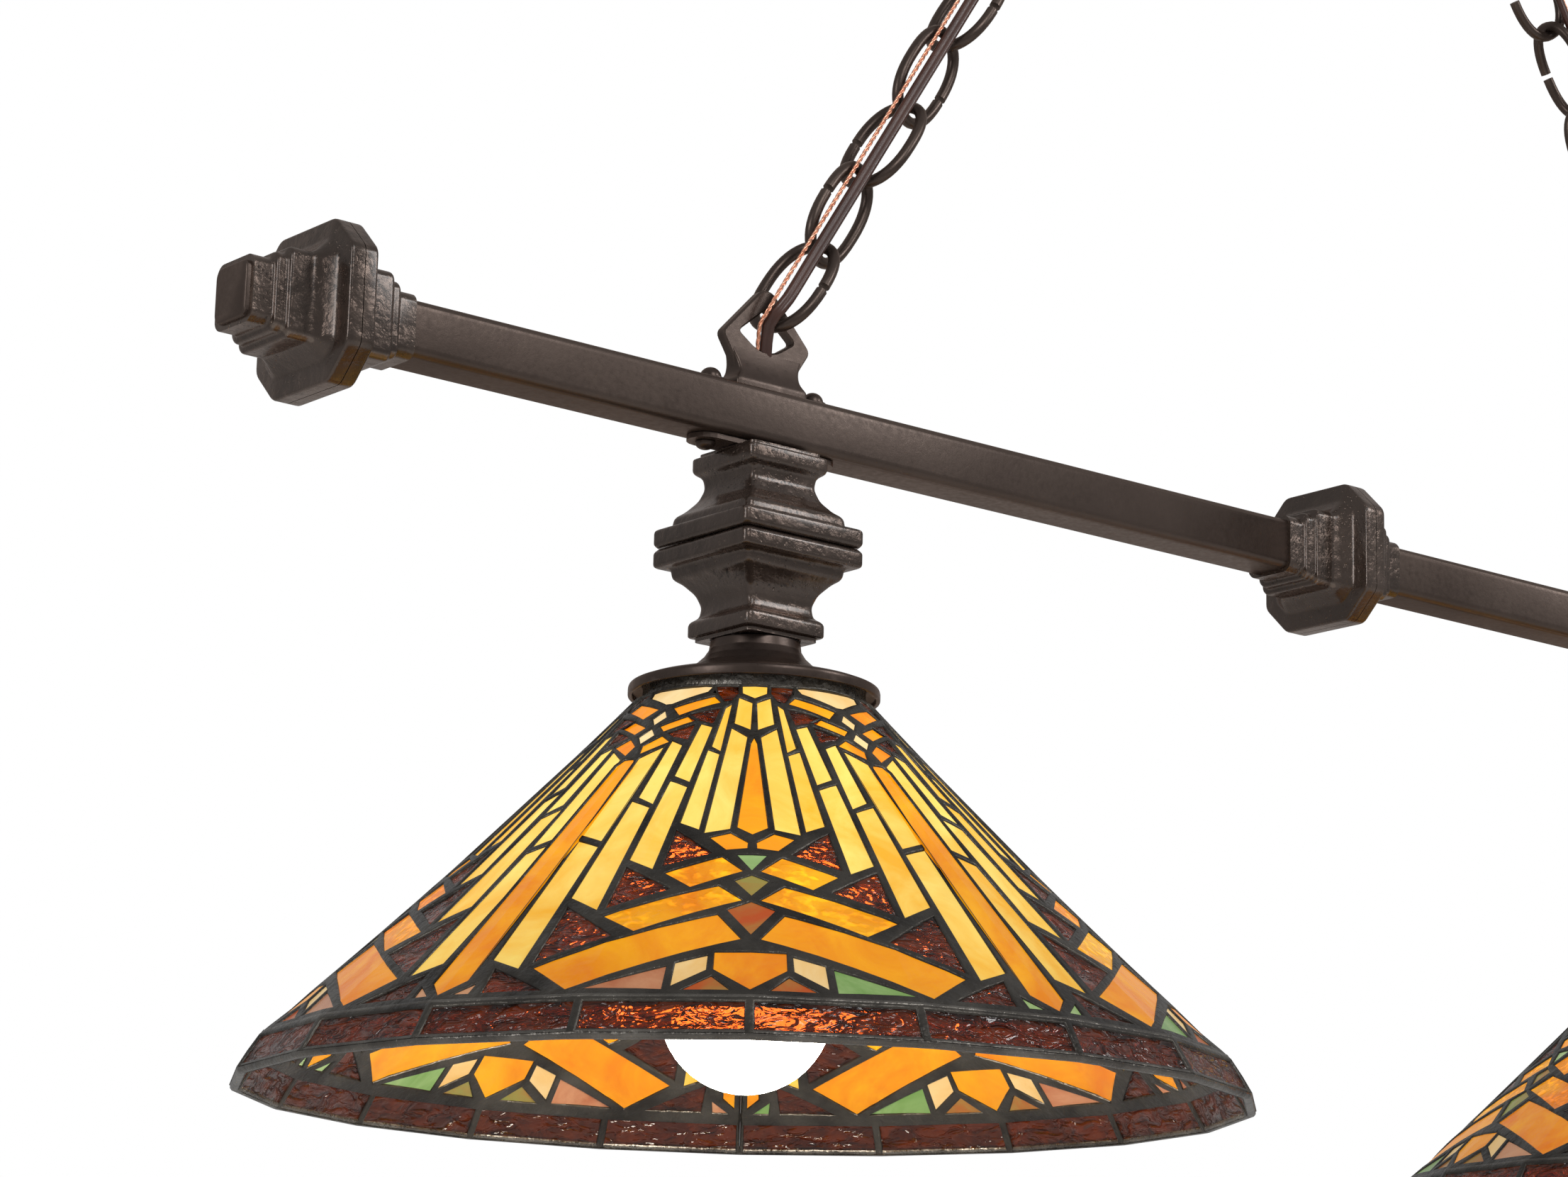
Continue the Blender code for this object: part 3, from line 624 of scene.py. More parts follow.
def border_pieces():
    """The row of brown pieces round the rim."""
    width = 360 / BORDER_PIECES
    gap = math.degrees(BORDER_GAP / RIM_R)
    steps = 4
    pieces = []
    for i in range(BORDER_PIECES):
        low = (i - BORDER_PIECES / 2) * width
        turns = [low + gap + (width - 2 * gap) * k / steps for k in range(steps + 1)]
        foot = [(t, BORDER[0]) for t in turns]
        head = [(t, BORDER[1]) for t in reversed(turns)]
        pieces.append(("brown", foot + head))
    return pieces


def pattern():
    """Every piece of glass in a shade: its kind and its outline in real turns and slants."""
    pieces = []
    step = 360 / SECTORS
    for sector in range(-2, 3):
        shift = sector * step
        for kind, outline in MIDDLE_PIECES:
            pieces.append((kind, fitted(mirrored(outline, 0), shift)))
        for kind, outline in HALF_PIECES:
            for flip in (1, -1):
                chosen = side_glass(flip, sector) if kind == "side" else kind
                pieces.append((chosen, fitted(outline, shift, flip)))
        for kind, outline in BOUNDARY_PIECES:
            whole = fitted(mirrored(outline, DRAWN_SECTOR / 2), shift)
            pieces += [(kind, half) for half in split_at_seam(whole)]
    return pieces + border_pieces()


def loop_at(bm, outline, height):
    """A flat outline's points at a height."""
    return [bm.verts.new((p.x, p.y, height)) for p in outline]


def area_twice(outline):
    """Twice a flat outline's area, positive if its points run anticlockwise."""
    return sum(a.x * b.y - b.x * a.y for a, b in zip(outline, outline[1:] + outline[:1]))


def turned_left(outline):
    """An outline with its points in anticlockwise order."""
    return outline if area_twice(outline) > 0 else list(reversed(outline))


def flat_outline(outline):
    """A piece of glass on the developed cone."""
    return [flat_place(slant, turn) for turn, slant in outline]


def lead_sheet(pieces):
    """The leading as one flat sheet with a hole for each piece of glass, its edges rounded."""
    ends, steps = 179.99, 90
    turns = [ends - 2 * ends * i / steps for i in range(steps + 1)]
    edge = [flat_place(0.3, t) for t in reversed(turns)] + [flat_place(TOP_EDGE, t) for t in turns]
    holes = [turned_left(flat_outline(outline)) for _, outline in pieces]
    loops = [turned_left(edge)] + [grown(hole, LEAD_ROUND) for hole in holes]
    points, borders = [], []
    for loop in loops:
        first = len(points)
        points += loop
        borders.append(list(range(first, len(points))))
    places, _, faces, _, _, inside = delaunay_2d_cdt(points, [], borders, 1, 0.001)
    faces = [face for face, within in zip(faces, inside) if within == [0]]
    bm = bmesh.new()
    for way in (1, -1):
        verts = [bm.verts.new((p.x, p.y, way * LEAD_HALF)) for p in places]
        for face in faces:
            bm.faces.new([verts[i] for i in face][::way])
        flat = LEAD_HALF - LEAD_ROUND
        for hole in holes:
            before = loop_at(bm, hole, 0)
            for k in range(ROUND_STEPS + 1):
                a = math.pi / 2 * k / ROUND_STEPS
                reach, height = LEAD_ROUND * (1 - math.cos(a)), flat + LEAD_ROUND * math.sin(a)
                after = loop_at(bm, grown(hole, reach) if k else hole, way * height)
                stitch(bm, before, after)
                before = after
        stitch(bm, loop_at(bm, edge, 0), loop_at(bm, edge, way * LEAD_HALF))
    bmesh.ops.remove_doubles(bm, verts=bm.verts, dist=0.002)
    bmesh.ops.recalc_face_normals(bm, faces=bm.faces)
    return bm


def cut_for_wrapping(bm, step):
    """Cut a flat mesh along lines up the cone, so that it can bend."""
    for i in range(-int(180 / step) + 1, int(180 / step)):
        swept = math.radians(i * step) * NARROWING
        cut(bm, (0, 0, 0), (math.sin(swept), -math.cos(swept), 0))


def flat_to_shade(bm, name, lift, glow_at):
    """Wrap a flat mesh, note how brightly the bulb's painted glow lights each point, and return the mesh.
    """
    for v in bm.verts:
        v.co.z += lift
    wrap(bm)
    glow = bm.verts.layers.float.new("glow")
    for v in bm.verts:
        v[glow] = glow_at(v.co)
    mesh = bpy.data.meshes.new(name)
    bm.to_mesh(mesh)
    bm.free()
    return mesh


def bulb_glow(point):
    """The bulb's painted glow at a point of the glass: 1 at GLOW_REACH and less further off."""
    distance = (point - Vector((0, 0, BULB_HEIGHT))).length
    return (GLOW_REACH / distance) ** 1.1


def grown(outline, by):
    """A flat outline moved outward by a distance."""
    way = 1 if area_twice(outline) > 0 else -1
    result = []
    count = len(outline)
    for i in range(count):
        a, b, c = outline[i - 1], outline[i], outline[(i + 1) % count]
        one, two = (b - a).normalized(), (c - b).normalized()
        out = (Vector((one.y, -one.x)) + Vector((two.y, -two.x))) * way
        if out.length < 0.3:
            out = (one - two) * 0.5
        out.normalize()
        square = Vector((one.y, -one.x)) * way
        result.append(b + out * by / max(0.45, out.dot(square)))
    return result


def glass_mesh(outlines, name):
    """Panes as closed plates, cut so that they follow the cone."""
    bm = bmesh.new()
    for outline in outlines:
        flat = grown(flat_outline(outline), LEAD_LIP)
        back, face = (loop_at(bm, flat, way * GLASS_THICK / 2) for way in (-1, 1))
        bm.faces.new(back)
        bm.faces.new(face)
        stitch(bm, back, face)
    cut_for_wrapping(bm, 6)
    bmesh.ops.recalc_face_normals(bm, faces=bm.faces)
    bmesh.ops.triangulate(bm, faces=[f for f in bm.faces if len(f.verts) > 4])
    return flat_to_shade(bm, name, -GLASS_SINK, bulb_glow)


def make_shade_meshes():
    """The leading and the panes of one shade, on the shade's own axes, by material."""
    pieces = pattern()
    leading = lead_sheet(pieces)
    cut_for_wrapping(leading, 4)
    meshes = {"lead": flat_to_shade(leading, "leading", -GLASS_SINK, lambda point: 0.0)}
    kinds = sorted({kind for kind, _ in pieces})
    for kind in kinds:
        outlines = [outline for chosen, outline in pieces if chosen == kind]
        meshes[kind] = glass_mesh(outlines, "panes_" + kind)
    return meshes


def shade_ring(slant, lift, steps=160):
    """A closed route round the shade at one slant."""
    return [shade_point(slant, 2 * math.pi * i / steps, lift) for i in range(steps)]


def make_beads():
    """The tinned bead on the rim, the thick seam above the border and the bead at the top."""
    bm = bmesh.new()
    for slant, lift, radius, sides in BEADS:
        sweep(bm, shade_ring(slant, lift), ring_section(radius, sides), closed=True)
    return mesh_from(bm, "beads")


def make_shades():
    """Both shades, with a piece for each kind of glass, the leading and the beads."""
    meshes = make_shade_meshes()
    meshes["beads"] = make_beads()
    for name, side in SIDES:
        body = "shade_" + name
        for kind, mesh in meshes.items():
            own = mesh.copy()
            own.transform(Matrix.Translation((side * SHADE_X, 0, RIM_Z)))
            glass = kind not in ("lead", "beads")
            material = "tinned" if kind == "beads" else kind
            piece = add_object(f"shade_{name}_{kind}", own, material, body, 0 if glass else 50)
            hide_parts("shade_" + name)


# Chain and cords

LINKS = 14
LINK_LENGTH, LINK_WIDTH, LINK_WIRE = 46.6, 29, 4.4
LINK_OVERLAP = 0.5
LINK_ROLL, CHAIN_TWIST = -67, -23
PITCH = LINK_LENGTH - 2 * LINK_WIRE + LINK_OVERLAP
RING_Z, RING_R, RING_WIRE = -55, 12, 2.25
END_LINK_Y = 2.5
HOOK_X, HOOK_Z = 5, 30
CORD_OFFSET, CORD_REACH = 9, 7
GROUND_AHEAD, GROUND_ASIDE = 1.2, 4.2
CORD_RIB = 1.4
BEARING = RING_WIRE + LINK_WIRE / 2 + 0.3
CHAIN_SPAN = (LINKS - 1) * PITCH + LINK_LENGTH - LINK_WIRE - 2 * BEARING
RING_LOW = RING_Z - math.sqrt(RING_R**2 - END_LINK_Y**2)


def mirror_x(point, side):
    """A point of the left lamp as it lies on the given side."""
    return Vector((-side * point[0], point[1], point[2]))


def chain_frame(side):
    """The chain's lower and upper bearing points and its direction, both for one side."""
    hook = mirror_x((HOOK_X - SHADE_X, 0, RIM_Z + BAR_TOP + HOOK_Z), side)
    ring = Vector((0, -side * END_LINK_Y, RING_LOW))
    return hook, ring, (ring - hook).normalized()


def across(side, angle):
    """A direction square to the chain, turned about it by an angle in degrees."""
    along = chain_frame(side)[2]
    over = Vector((0, 1, 0)).cross(along).normalized() * -side
    a = math.radians(angle)
    return over * math.cos(a) + along.cross(over).normalized() * (math.sin(a) * -side)


def link_route():
    """An open oval's middle line, with its slit in the middle of one long side."""
    half_length, half_width = (LINK_LENGTH - LINK_WIRE) / 2, (LINK_WIDTH - LINK_WIRE) / 2
    slit, square, steps = 0.03, 0.84, 44
    turns = [slit + (2 * math.pi - 2 * slit) * i / steps for i in range(steps + 1)]
    return [(half_length * math.copysign(abs(math.sin(a)) ** square, math.sin(a)),
             half_width * math.copysign(abs(math.cos(a)) ** square, math.cos(a))) for a in turns]


def make_chain(name, side):
    """The separate links of one chain, each a quarter turn and a little from the last."""
    bm = bmesh.new()
    hook, _, along = chain_frame(side)
    start = (LINK_LENGTH - LINK_WIRE) / 2 - BEARING
    for number in range(LINKS):
        middle = hook + along * (start + number * PITCH)
        wide = across(side, LINK_ROLL + 90 * number + CHAIN_TWIST * number / (LINKS - 1))
        flip = -1 if number % 2 else 1
        points = [middle + along * x + wide * (y * flip) for x, y in link_route()]
        thick = along.cross(wide)
        frames = [(thick, b) for _, b in frames_along(points, False, thick)]
        sweep(bm, points, ring_section(LINK_WIRE / 2, 12), frames=frames)
    stand_in("chain_links_" + name, bm, "smooth", "lamp", "chain_" + name, 50)


def smooth_route(points, spacing):
    """Points along a Catmull-Rom curve through the given ones, about one spacing apart."""
    ends = [points[0] * 2 - points[1]] + points + [points[-1] * 2 - points[-2]]
    route = []
    for a, b, c, d in zip(ends, ends[1:], ends[2:], ends[3:]):
        steps = max(1, round((c - b).length / spacing))
        for i in range(steps):
            t = i / steps
            route.append(((b * 2) + (c - a) * t + (a * 2 - b * 5 + c * 4 - d) * t**2
                          + (b * 3 - a - c * 3 + d) * t**3) / 2)
    return route + [points[-1]]


def cord_route(side, ahead, aside, hook_shift, top_shift):
    """A cord's way from inside the bar, out of the hanger, along the chain and to the canopy."""
    bar = RIM_Z + BAR_TOP
    start, stop_short = 4, 40
    throat = ((0.8, 0, -5), (0.8, 0, 4), (0.8, -0.2, 12), (-0.4, -2.2, 19), (-1.5, -4.7, 24.8),
              (-0.3, -7.0, 28.8))
    route = [mirror_x((x - SHADE_X + hook_shift, y, z + bar), side) for x, y, z in throat]
    hook, _, along = chain_frame(side)
    stations = 24
    for i in range(stations):
        part = i / (stations - 1)
        angle = LINK_ROLL - 45 + CHAIN_TWIST * part
        reach = start + part * (CHAIN_SPAN - stop_short)
        route.append(hook + along * reach + across(side, angle) * (CORD_OFFSET + ahead)
                     + across(side, angle - 90) * aside)
    behind = 3 if side > 0 else -3
    swept = (-4.4, -54.6) if side > 0 else (-5, -56.4)
    top = ((12, -8, -72), (7.4, -7.9, -63), (4.4, *swept), (2.2, behind * 0.7, -52.8),
           (1.1, behind, -50.2), (0.8, behind, RING_Z + CORD_REACH))
    route += [Vector((side * (x + top_shift), y, z)) for x, y, z in top]
    return route


def rib_section():
    """Two round ribs side by side: the section of a flat two-core cord."""
    count = 10
    section = []
    for way in (1, -1):
        for i in range(count + 1):
            a = -math.radians(130) + math.radians(260) * i / count
            section.append((way * CORD_RIB * (math.cos(a) + 0.72), way * CORD_RIB * math.sin(a)))
    return section


def make_cord(name, side):
    """The flat cord, its two ribs side by side across the way it faces."""
    route = smooth_route(cord_route(side, 0, 0, 0, 0), 5)
    face = across(side, LINK_ROLL - 45)
    frames = []
    for i in range(len(route)):
        along = (route[min(i + 1, len(route) - 1)] - route[max(i - 1, 0)]).normalized()
        wide = along.cross(face).normalized()
        frames.append((wide, along.cross(wide)))
    bm = bmesh.new()
    sweep(bm, route, rib_section(), frames=frames)
    stand_in("cord_jacket_" + name, bm, "cord", "lamp", "cord_" + name, 60)


def make_ground_wire(name, side):
    """Three bare strands twisted round each other."""
    spacing = 1.2
    route = smooth_route(cord_route(side, GROUND_AHEAD, GROUND_ASIDE, -3.7, 3.8), spacing)
    strands, lay, radius = 3, 9.0, 0.42
    bm = bmesh.new()
    frames = frames_along(route, False)
    for strand in range(strands):
        points = []
        for i, (p, (a, b)) in enumerate(zip(route, frames)):
            turn = 2 * math.pi * (i * spacing / lay + strand / strands)
            points.append(p + (a * math.cos(turn) + b * math.sin(turn)) * radius)
        sweep(bm, points, ring_section(radius, 6), frames=frames)
    stand_in("ground_strands_" + name, bm, "copper", "lamp", "ground_wire_" + name, 60)


# Turned pieces

def make_turned(name, profile, steps, at, node, radius=0, body="lamp", material="smooth"):
    """A piece turned about an upright axis, with its profile's corners rounded."""
    bm = bmesh.new()
    lathe(bm, rounded(profile, radius) if radius else profile, steps, at)
    stand_in(name, bm, material, body, node, 35)


def make_cap(name, side):
    """The spun cap over the shade, hollow underneath."""
    outer = ((16, 162.7), (16.4, 159.4), (18.2, 156.6), (21.4, 153.6), (26, 151.2), (31, 149.5),
             (36.4, 148.2), (41, 147.2), (44.2, 146), (44.5, 145), (44.5, 142.4))
    inner = ((43, 142.4), (43, 144.4), (40.4, 145.6), (33.4, 147.2), (25.2, 149.8), (18.2, 153.8),
             (15.2, 158.4), (14.8, 161.4), (5.2, 161.4), (5.2, 162.7))
    make_turned("cap_spun_" + name, (*outer, *inner), 96, (side * SHADE_X, 0, RIM_Z),
                "shade_cap_" + name, 0.4)


def dome(radius, foot, height):
    """The upper side of a round head, from its edge towards the axis."""
    turns = [i * math.pi / 14 for i in range(7)]
    return [(radius * math.cos(a), foot + height * math.sin(a)) for a in turns]


def make_screw_heads(name):
    """Round heads on top of the bar and under the plate, each with its shank."""
    for mark in ("a", "b"):
        node = f"hanger_screw_{name}_{mark}"
        low, high = box_mm(node)
        at = ((low.x + high.x) / 2, 0, RIM_Z + BAR_TOP)
        profile = ((0, 5.5), *reversed(dome(4, 1.6, 3.9)), (4.9, 1.4), (4.9, 0.3), (1.7, 0.3), (1.7, -4),
                   (0, -4))
        make_turned(f"round_head_{name}_top_{mark}", profile, 28, at, node)
        node = f"mount_screw_{name}_{mark}"
        low, high = box_mm(node)
        at = ((low.x + high.x) / 2, 0, high.z - 6)
        profile = ((0, 6), (1.7, 6), (1.7, 0), (3.6, 0), *dome(3.6, -0.4, -2.3), (0, -2.7))
        make_turned(f"round_head_{name}_low_{mark}", profile, 28, at, node)


def make_bulb(name, side):
    """A globe bulb, open inside, on its threaded base."""
    at = (side * SHADE_X, 0, RIM_Z)
    body = "bulb_" + name
    turns = [math.pi * (i / 24 - 0.5) for i in range(17)]
    globe = [(30.2 * math.cos(a), 34 + 30.4 * math.sin(a)) for a in turns]
    neck = [(26.6, 49.4), (23, 58.4), (19.4, 66.4), (16.2, 74), (13.8, 80.4), (12.4, 85.6)]
    skin = [(0, 3.5)] + globe[1:] + neck
    wall = 0.9
    inner = [(max(0, r - wall), z + wall * (1 - r / 30)) for r, z in reversed(skin)]
    make_turned("bulb_envelope_" + name, (*skin, *inner), 48, at, "bulb_globe_" + name, 0, body, "bulb")
    threads = []
    for i in range(6):
        foot = 87 + i * 2.6
        threads += [(12.9, foot), (12.9, foot + 1.0), (12.0, foot + 1.8)]
    profile = ((0, 86), (12.2, 86), *threads, (12.2, 104), (9, 107.4), (5.6, 109.6), (4, 110.2),
               (3.8, 111.6), (0, 111.6))
    make_turned("bulb_screw_" + name, profile, 40, at, "bulb_base_" + name, 0, body, "brass")


def make_canopy():
    """The spun dish at the ceiling and, under it, a collar with the ring for the chains."""
    middle = (0, 0, 0)
    rim, wall = 65, 1.2
    outer = ((9, -27), (26, -26.9), (34, -26.4), (42, -25), (49, -22.6), (55, -19), (59.6, -14.4),
             (63, -8), (64.6, -3), (rim, -0.5))
    inner = tuple((r - wall * 0.75, z + wall) if r > 9 else (r, z + wall) for r, z in outer[:-1])
    make_turned("canopy_bowl", (*reversed(outer), *inner, (rim - wall, -0.5)), 96, middle, "canopy_dish",
                0, "canopy")
    collar = ((8.7, -28.3), (12, -28.3), (13, -29.8), (13, -42), (11, -44), (6.6, -44), (6.6, -37.4),
              (8.7, -37.4))
    make_turned("canopy_collar", collar, 48, middle, "canopy_loop", 0.6, "canopy")
    bm = bmesh.new()
    turns = [2 * math.pi * i / 48 for i in range(48)]
    points = [Vector((0, RING_R * math.cos(a), RING_Z + RING_R * math.sin(a))) for a in turns]
    sweep(bm, points, ring_section(RING_WIRE, 12), closed=True)
    stand_in("canopy_hook_ring", bm, "smooth", "canopy", "canopy_loop", 60)


# Castings: each profile is heights with half widths, and a casting's also half diagonals.

CASTING = 31.5
CASTING_PROFILE = (
    (0, 11.5, 14.5), (7.3, 11.5, 14.5), (7.7, 13.5, 17.5), (11.3, 13.5, 17.5), (11.7, 15.5, 20.5),
    (20, 15.5, 20.5), (22.5, 17.2, 22.2), (26, 21, 25.5), (26.4, 28, 31.5), (31.5, 28, 31.5),
)
NECK_FOOT, NECK_MIDDLE = 163, 197
NECK_PROFILE = ((0, 15.8), (1.4, 15.8), (1.5, 17.7), (6.8, 17.7), (8.5, 15), (12.5, 14.4), (17, 16),
                (21, 19.4), (22.8, 22), (26.9, 22.6), (27, 27), (33.6, 27))
NECK_RIM = ((32.4, 27), (33.6, 26))


def casting_ring(x, half, diagonal):
    """A square section whose corners are cut off square to the diagonal, and then eased."""
    cut_at = diagonal * math.sqrt(2) - half
    corners = ((half, -cut_at), (half, cut_at), (cut_at, half), (-cut_at, half),
               (-half, cut_at), (-half, -cut_at), (-cut_at, -half), (cut_at, -half))
    return [Vector((x, p.x, p.y)) for p in eased(corners, 2.2, closed=True)]


def make_casting(name, way):
    """One stepped casting, from its flange out to its small end."""
    low, high = box_mm(name)
    flange = low.x if way > 0 else high.x
    middle = (low.z + high.z) / 2
    profile = eased(CASTING_PROFILE, 1.3)
    bm = bmesh.new()
    loft(bm, [casting_ring(flange + way * (CASTING - p.x), p.y, p.z) for p in profile])
    bmesh.ops.translate(bm, verts=bm.verts, vec=(0, 0, middle))
    stand_in("cast_" + name, bm, "cast", "lamp", name, 50)


def rectangle(half_width, half_height):
    return ((-half_width, -half_height), (half_width, -half_height), (half_width, half_height),
            (-half_width, half_height))


def make_slab(node, name, radius):
    """A straight piece along X of rectangular section, with round corners and eased ends."""
    low, high = box_mm(node)
    middle, half = (low + high) / 2, (high - low) / 2
    ease = 0.5
    bm = bmesh.new()
    rings = []
    for way, inset in ((-1, ease), (-1, 0), (1, 0), (1, ease)):
        end = Vector((way * (half.x - ease + inset), 0, 0))
        section = eased(rectangle(half.y - inset, half.z - inset), radius, 6, closed=True)
        rings.append([middle + end + Vector((0, q.x, q.y)) for q in section])
    loft(bm, rings)
    stand_in(name, bm, "metal", "lamp", node, 50)


def make_neck(name, side):
    """Two castings of square plan with eased edges, the upper one turned upside down."""
    gap, plate = 0.3, 1.8
    height = NECK_PROFILE[-1][0]
    top = BAR_FLOOR - plate - 2 * gap
    squeeze = (top - NECK_MIDDLE - gap) / height
    profile = eased((*NECK_PROFILE[:-1], *NECK_RIM), 1.5)
    for node, place in (("neck_lower_" + name, lambda z: NECK_FOOT + z),
                        ("neck_upper_" + name, lambda z: top - z * squeeze)):
        bm = bmesh.new()
        rings = []
        for p in profile:
            section = eased(rectangle(p.y, p.y), 2.4, closed=True)
            height = RIM_Z + place(p.x)
            rings.append([Vector((q.x + side * SHADE_X, q.y, height)) for q in section])
        loft(bm, rings)
        stand_in("cast_" + node, bm, "cast", "lamp", node, 50)


def make_castings():
    """The bar with everything that is threaded on it or hangs under it."""
    make_casting("centre_casting_left", -1)
    make_casting("centre_casting_right", 1)
    for name, side in SIDES:
        make_casting(f"finial_{name}_inner", -side)
        make_casting(f"finial_{name}_outer", side)
        make_neck(name, side)
        make_slab("bar_" + name, "bar_tube_" + name, 3.6)
        make_slab("end_plate_" + name, "end_cover_" + name, 3.2)


# Hanger: heights above the bar's top with the foot's half width and depth, then the loop's
# outline and the outline of its hole.
HANGER_FOOT = ((0.3, 16, 6.5), (2.4, 16, 6.5), (5.5, 13.6, 5.2), (9, 13.9, 3.9), (12.4, 15.2, 2.9),
               (15, 16.6, 2.2))
HANGER_EDGE = ((-13.2, 6), (13.2, 6), (15, 11), (20.5, 19.5), (2.6, 38.6), (-2.6, 38.6), (-20.5, 19.5),
               (-15, 11))
HANGER_HOLE = ((0, 15.2), (5, 16.4), (12.6, 21.4), (0, 31.8), (-12.6, 21.4), (-5, 16.4))
HANGER_HALF, HANGER_SOFT = 2.3, 0.7


def hanger_foot(bm, at):
    rings = []
    for p in eased(HANGER_FOOT, 2.2):
        section = eased(rectangle(p.y, p.z), 1.4, closed=True)
        rings.append([Vector((q.x, q.y, p.x)) + at for q in section])
    loft(bm, rings)


def hanger_loop(bm, at):
    """A flat plate with a hole, its edges broken by a narrow slope on both sides."""
    outlines = (eased(HANGER_EDGE, 2.4, closed=True), eased(HANGER_HOLE, 1.8, closed=True))
    loops = [turned_left(outline) for outline in outlines]
    flats = [grown(loops[0], -HANGER_SOFT), grown(loops[1], HANGER_SOFT)]
    points = flats[0] + flats[1]
    borders = [list(range(len(flats[0]))), list(range(len(flats[0]), len(points)))]
    places, _, faces, _, _, inside = delaunay_2d_cdt(points, [], borders, 1, 0.001)

    def verts_at(outline, depth):
        return [bm.verts.new(at + Vector((p.x, depth, p.y))) for p in outline]

    for way in (-1, 1):
        verts = verts_at(places, way * HANGER_HALF)
        for face, within in zip(faces, inside):
            if within == [0]:
                bm.faces.new([verts[i] for i in face])
        for loop, flat in zip(loops, flats):
            crest = verts_at(flat, way * HANGER_HALF)
            shoulder = verts_at(loop, way * (HANGER_HALF - HANGER_SOFT))
            stitch(bm, crest, shoulder)
            stitch(bm, shoulder, verts_at(loop, 0))
    bmesh.ops.remove_doubles(bm, verts=bm.verts, dist=0.003)


def make_hanger(name, side):
    """The diamond loop that the chain bears on, growing out of a flared foot on the bar."""
    at = Vector((side * SHADE_X, 0, RIM_Z + BAR_TOP))
    bm = bmesh.new()
    hanger_foot(bm, at)
    hanger_loop(bm, at)
    stand_in("hanger_loop_" + name, bm, "smooth", "lamp", "hanger_" + name, 40)


# Carried-over CAD nodes

def finish_node(node, material, edge=0.0):
    """Give a CAD node its material and soften its edges."""
    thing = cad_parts[node]
    if not thing.material_slots:
        thing.data.materials.append(MATERIALS[material])
    for slot in thing.material_slots:
        slot.material = MATERIALS[material]
    if edge:
        soft = thing.modifiers.new("edge", "BEVEL")
        soft.width = edge * MM
        soft.segments = 3
        soft.limit_method = "ANGLE"
        soft.angle_limit = math.radians(28)
        soft.use_clamp_overlap = True


def finish_nodes():
    """The plain CAD pieces, which keep their shape."""
    for name, _ in SIDES:
        finish_node("mount_plate_" + name, "smooth", 0.4)
        finish_node("neck_rod_" + name, "steel")
        finish_node("shade_ring_" + name, "tinned")
        finish_node("shade_spider_" + name, "brass", 0.3)
        finish_node("spider_nut_" + name, "brass", 0.3)
        finish_node("socket_" + name, "brass", 0.5)
        finish_node("strap_screw_" + name, "steel", 0.3)
    finish_node("bar_joiner", "steel")
    finish_node("ceiling_strap", "steel", 0.4)
    finish_node("canopy_stem", "steel")
    finish_node("canopy_locknut", "steel", 0.4)


# Stage

def soft_light(name, at, aim, size, power):
    """A round area light aimed at a place."""
    lamp = bpy.data.lights.new(name, "AREA")
    lamp.shape = "DISK"
    lamp.size = size
    lamp.energy = power
    thing = bpy.data.objects.new(name, lamp)
    thing.location = at
    thing.rotation_euler = (Vector(aim) - Vector(at)).to_track_quat("-Z", "Y").to_euler()
    bpy.context.scene.collection.objects.link(thing)


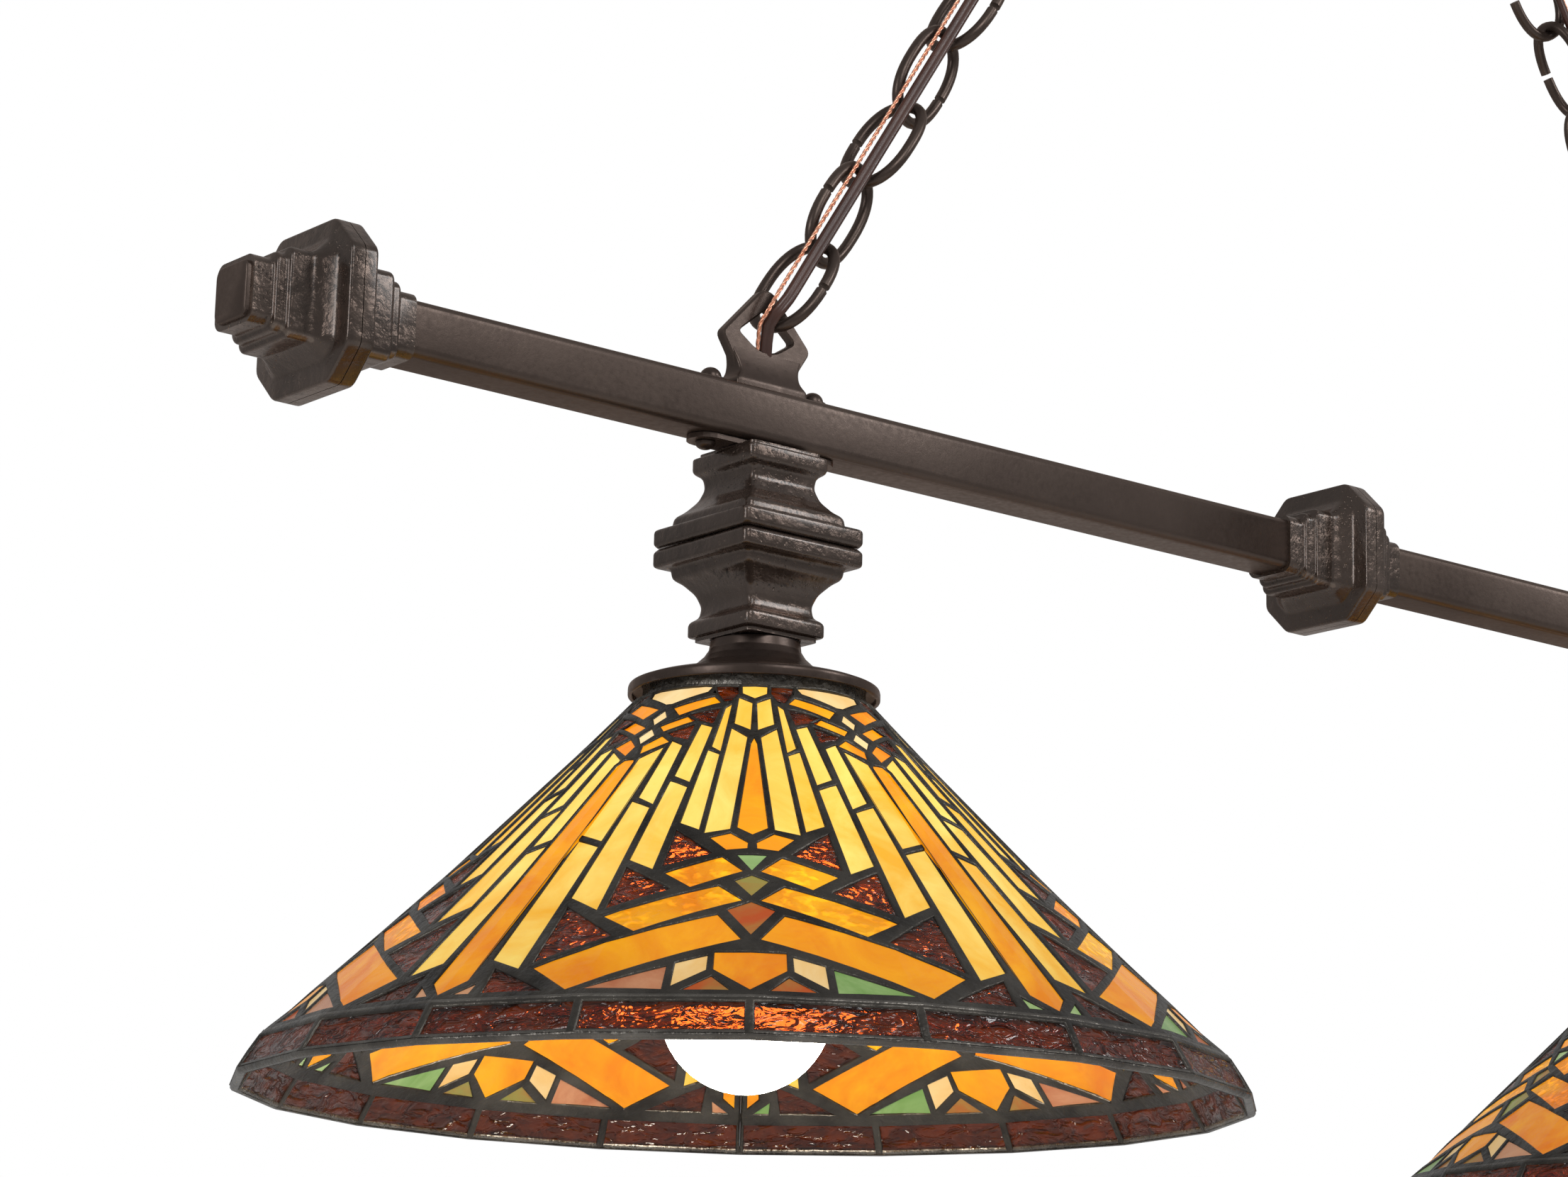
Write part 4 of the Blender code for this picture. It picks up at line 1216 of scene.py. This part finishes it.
def make_world():
    """A white room, which lights the lamp less than it shows itself."""
    world = bpy.data.worlds.new("studio")
    bpy.context.scene.world = world
    world.use_nodes = True
    nodes, links = world.node_tree.nodes, world.node_tree.links
    background = nodes["Background"]
    background.inputs["Color"].default_value = (1, 1, 1, 1)
    seen = nodes.new("ShaderNodeLightPath").outputs["Is Camera Ray"]
    strength = nodes.new("ShaderNodeMapRange")
    strength.inputs["To Min"].default_value = 0.38
    strength.inputs["To Max"].default_value = 1.0
    links.new(seen, strength.inputs["Value"])
    links.new(strength.outputs[0], background.inputs["Strength"])
    bpy.context.scene.view_settings.view_transform = "Standard"


def make_floor():
    """A wide pale floor, well below the hanging lamp."""
    bm = bmesh.new()
    bmesh.ops.create_grid(bm, x_segments=1, y_segments=1, size=6)
    mesh = bpy.data.meshes.new("floor")
    bm.to_mesh(mesh)
    bm.free()
    floor = bpy.data.objects.new("floor", mesh)
    floor.location = (0, 0, CAD_LOW.z - 0.9)
    bpy.context.scene.collection.objects.link(floor)
    n = Nodes("pale_floor")
    n.set(Base_Color=n.mottle(3, 3, 0.3, (244, 243, 241), (249, 248, 246)), Roughness=0.6)
    mesh.materials.append(n.material)


def make_lights():
    soft_light("key", (-0.6, -3.0, 1.4), (-0.2, 0, -0.6), 1.6, 40)
    soft_light("fill", (1.5, -2.0, 0.8), (0, 0, -0.6), 0.9, 20)
    soft_light("side", (-2.6, -0.4, 0.1), (-0.4, 0, -0.5), 1.0, 16)


def make_camera():
    """A long lens from in front of the left shade, a little below it."""
    camera = bpy.data.cameras.new("camera")
    camera.sensor_width = 36
    camera.lens = 94.03
    camera.clip_start = 0.05
    camera.clip_end = 50
    thing = bpy.data.objects.new("camera", camera)
    stand = Vector((-1.1708, -1.10309, -0.95428))
    ahead = Vector((0.6114, 0.75593, 0.23401))
    right = Vector((0.77372, -0.63309, 0.02355))
    turn = Matrix((right, right.cross(ahead), -ahead)).transposed().to_4x4()
    thing.matrix_world = Matrix.Translation(stand) @ turn
    bpy.context.scene.collection.objects.link(thing)
    bpy.context.scene.camera = thing


MATERIALS = make_materials()
make_camera()
make_shades()
for SIDE_NAME, SIDE in SIDES:
    make_chain(SIDE_NAME, SIDE)
    make_cord(SIDE_NAME, SIDE)
    make_ground_wire(SIDE_NAME, SIDE)
    make_cap(SIDE_NAME, SIDE)
    make_screw_heads(SIDE_NAME)
    make_bulb(SIDE_NAME, SIDE)
    make_hanger(SIDE_NAME, SIDE)
make_castings()
make_canopy()
finish_nodes()
make_world()
make_floor()
make_lights()
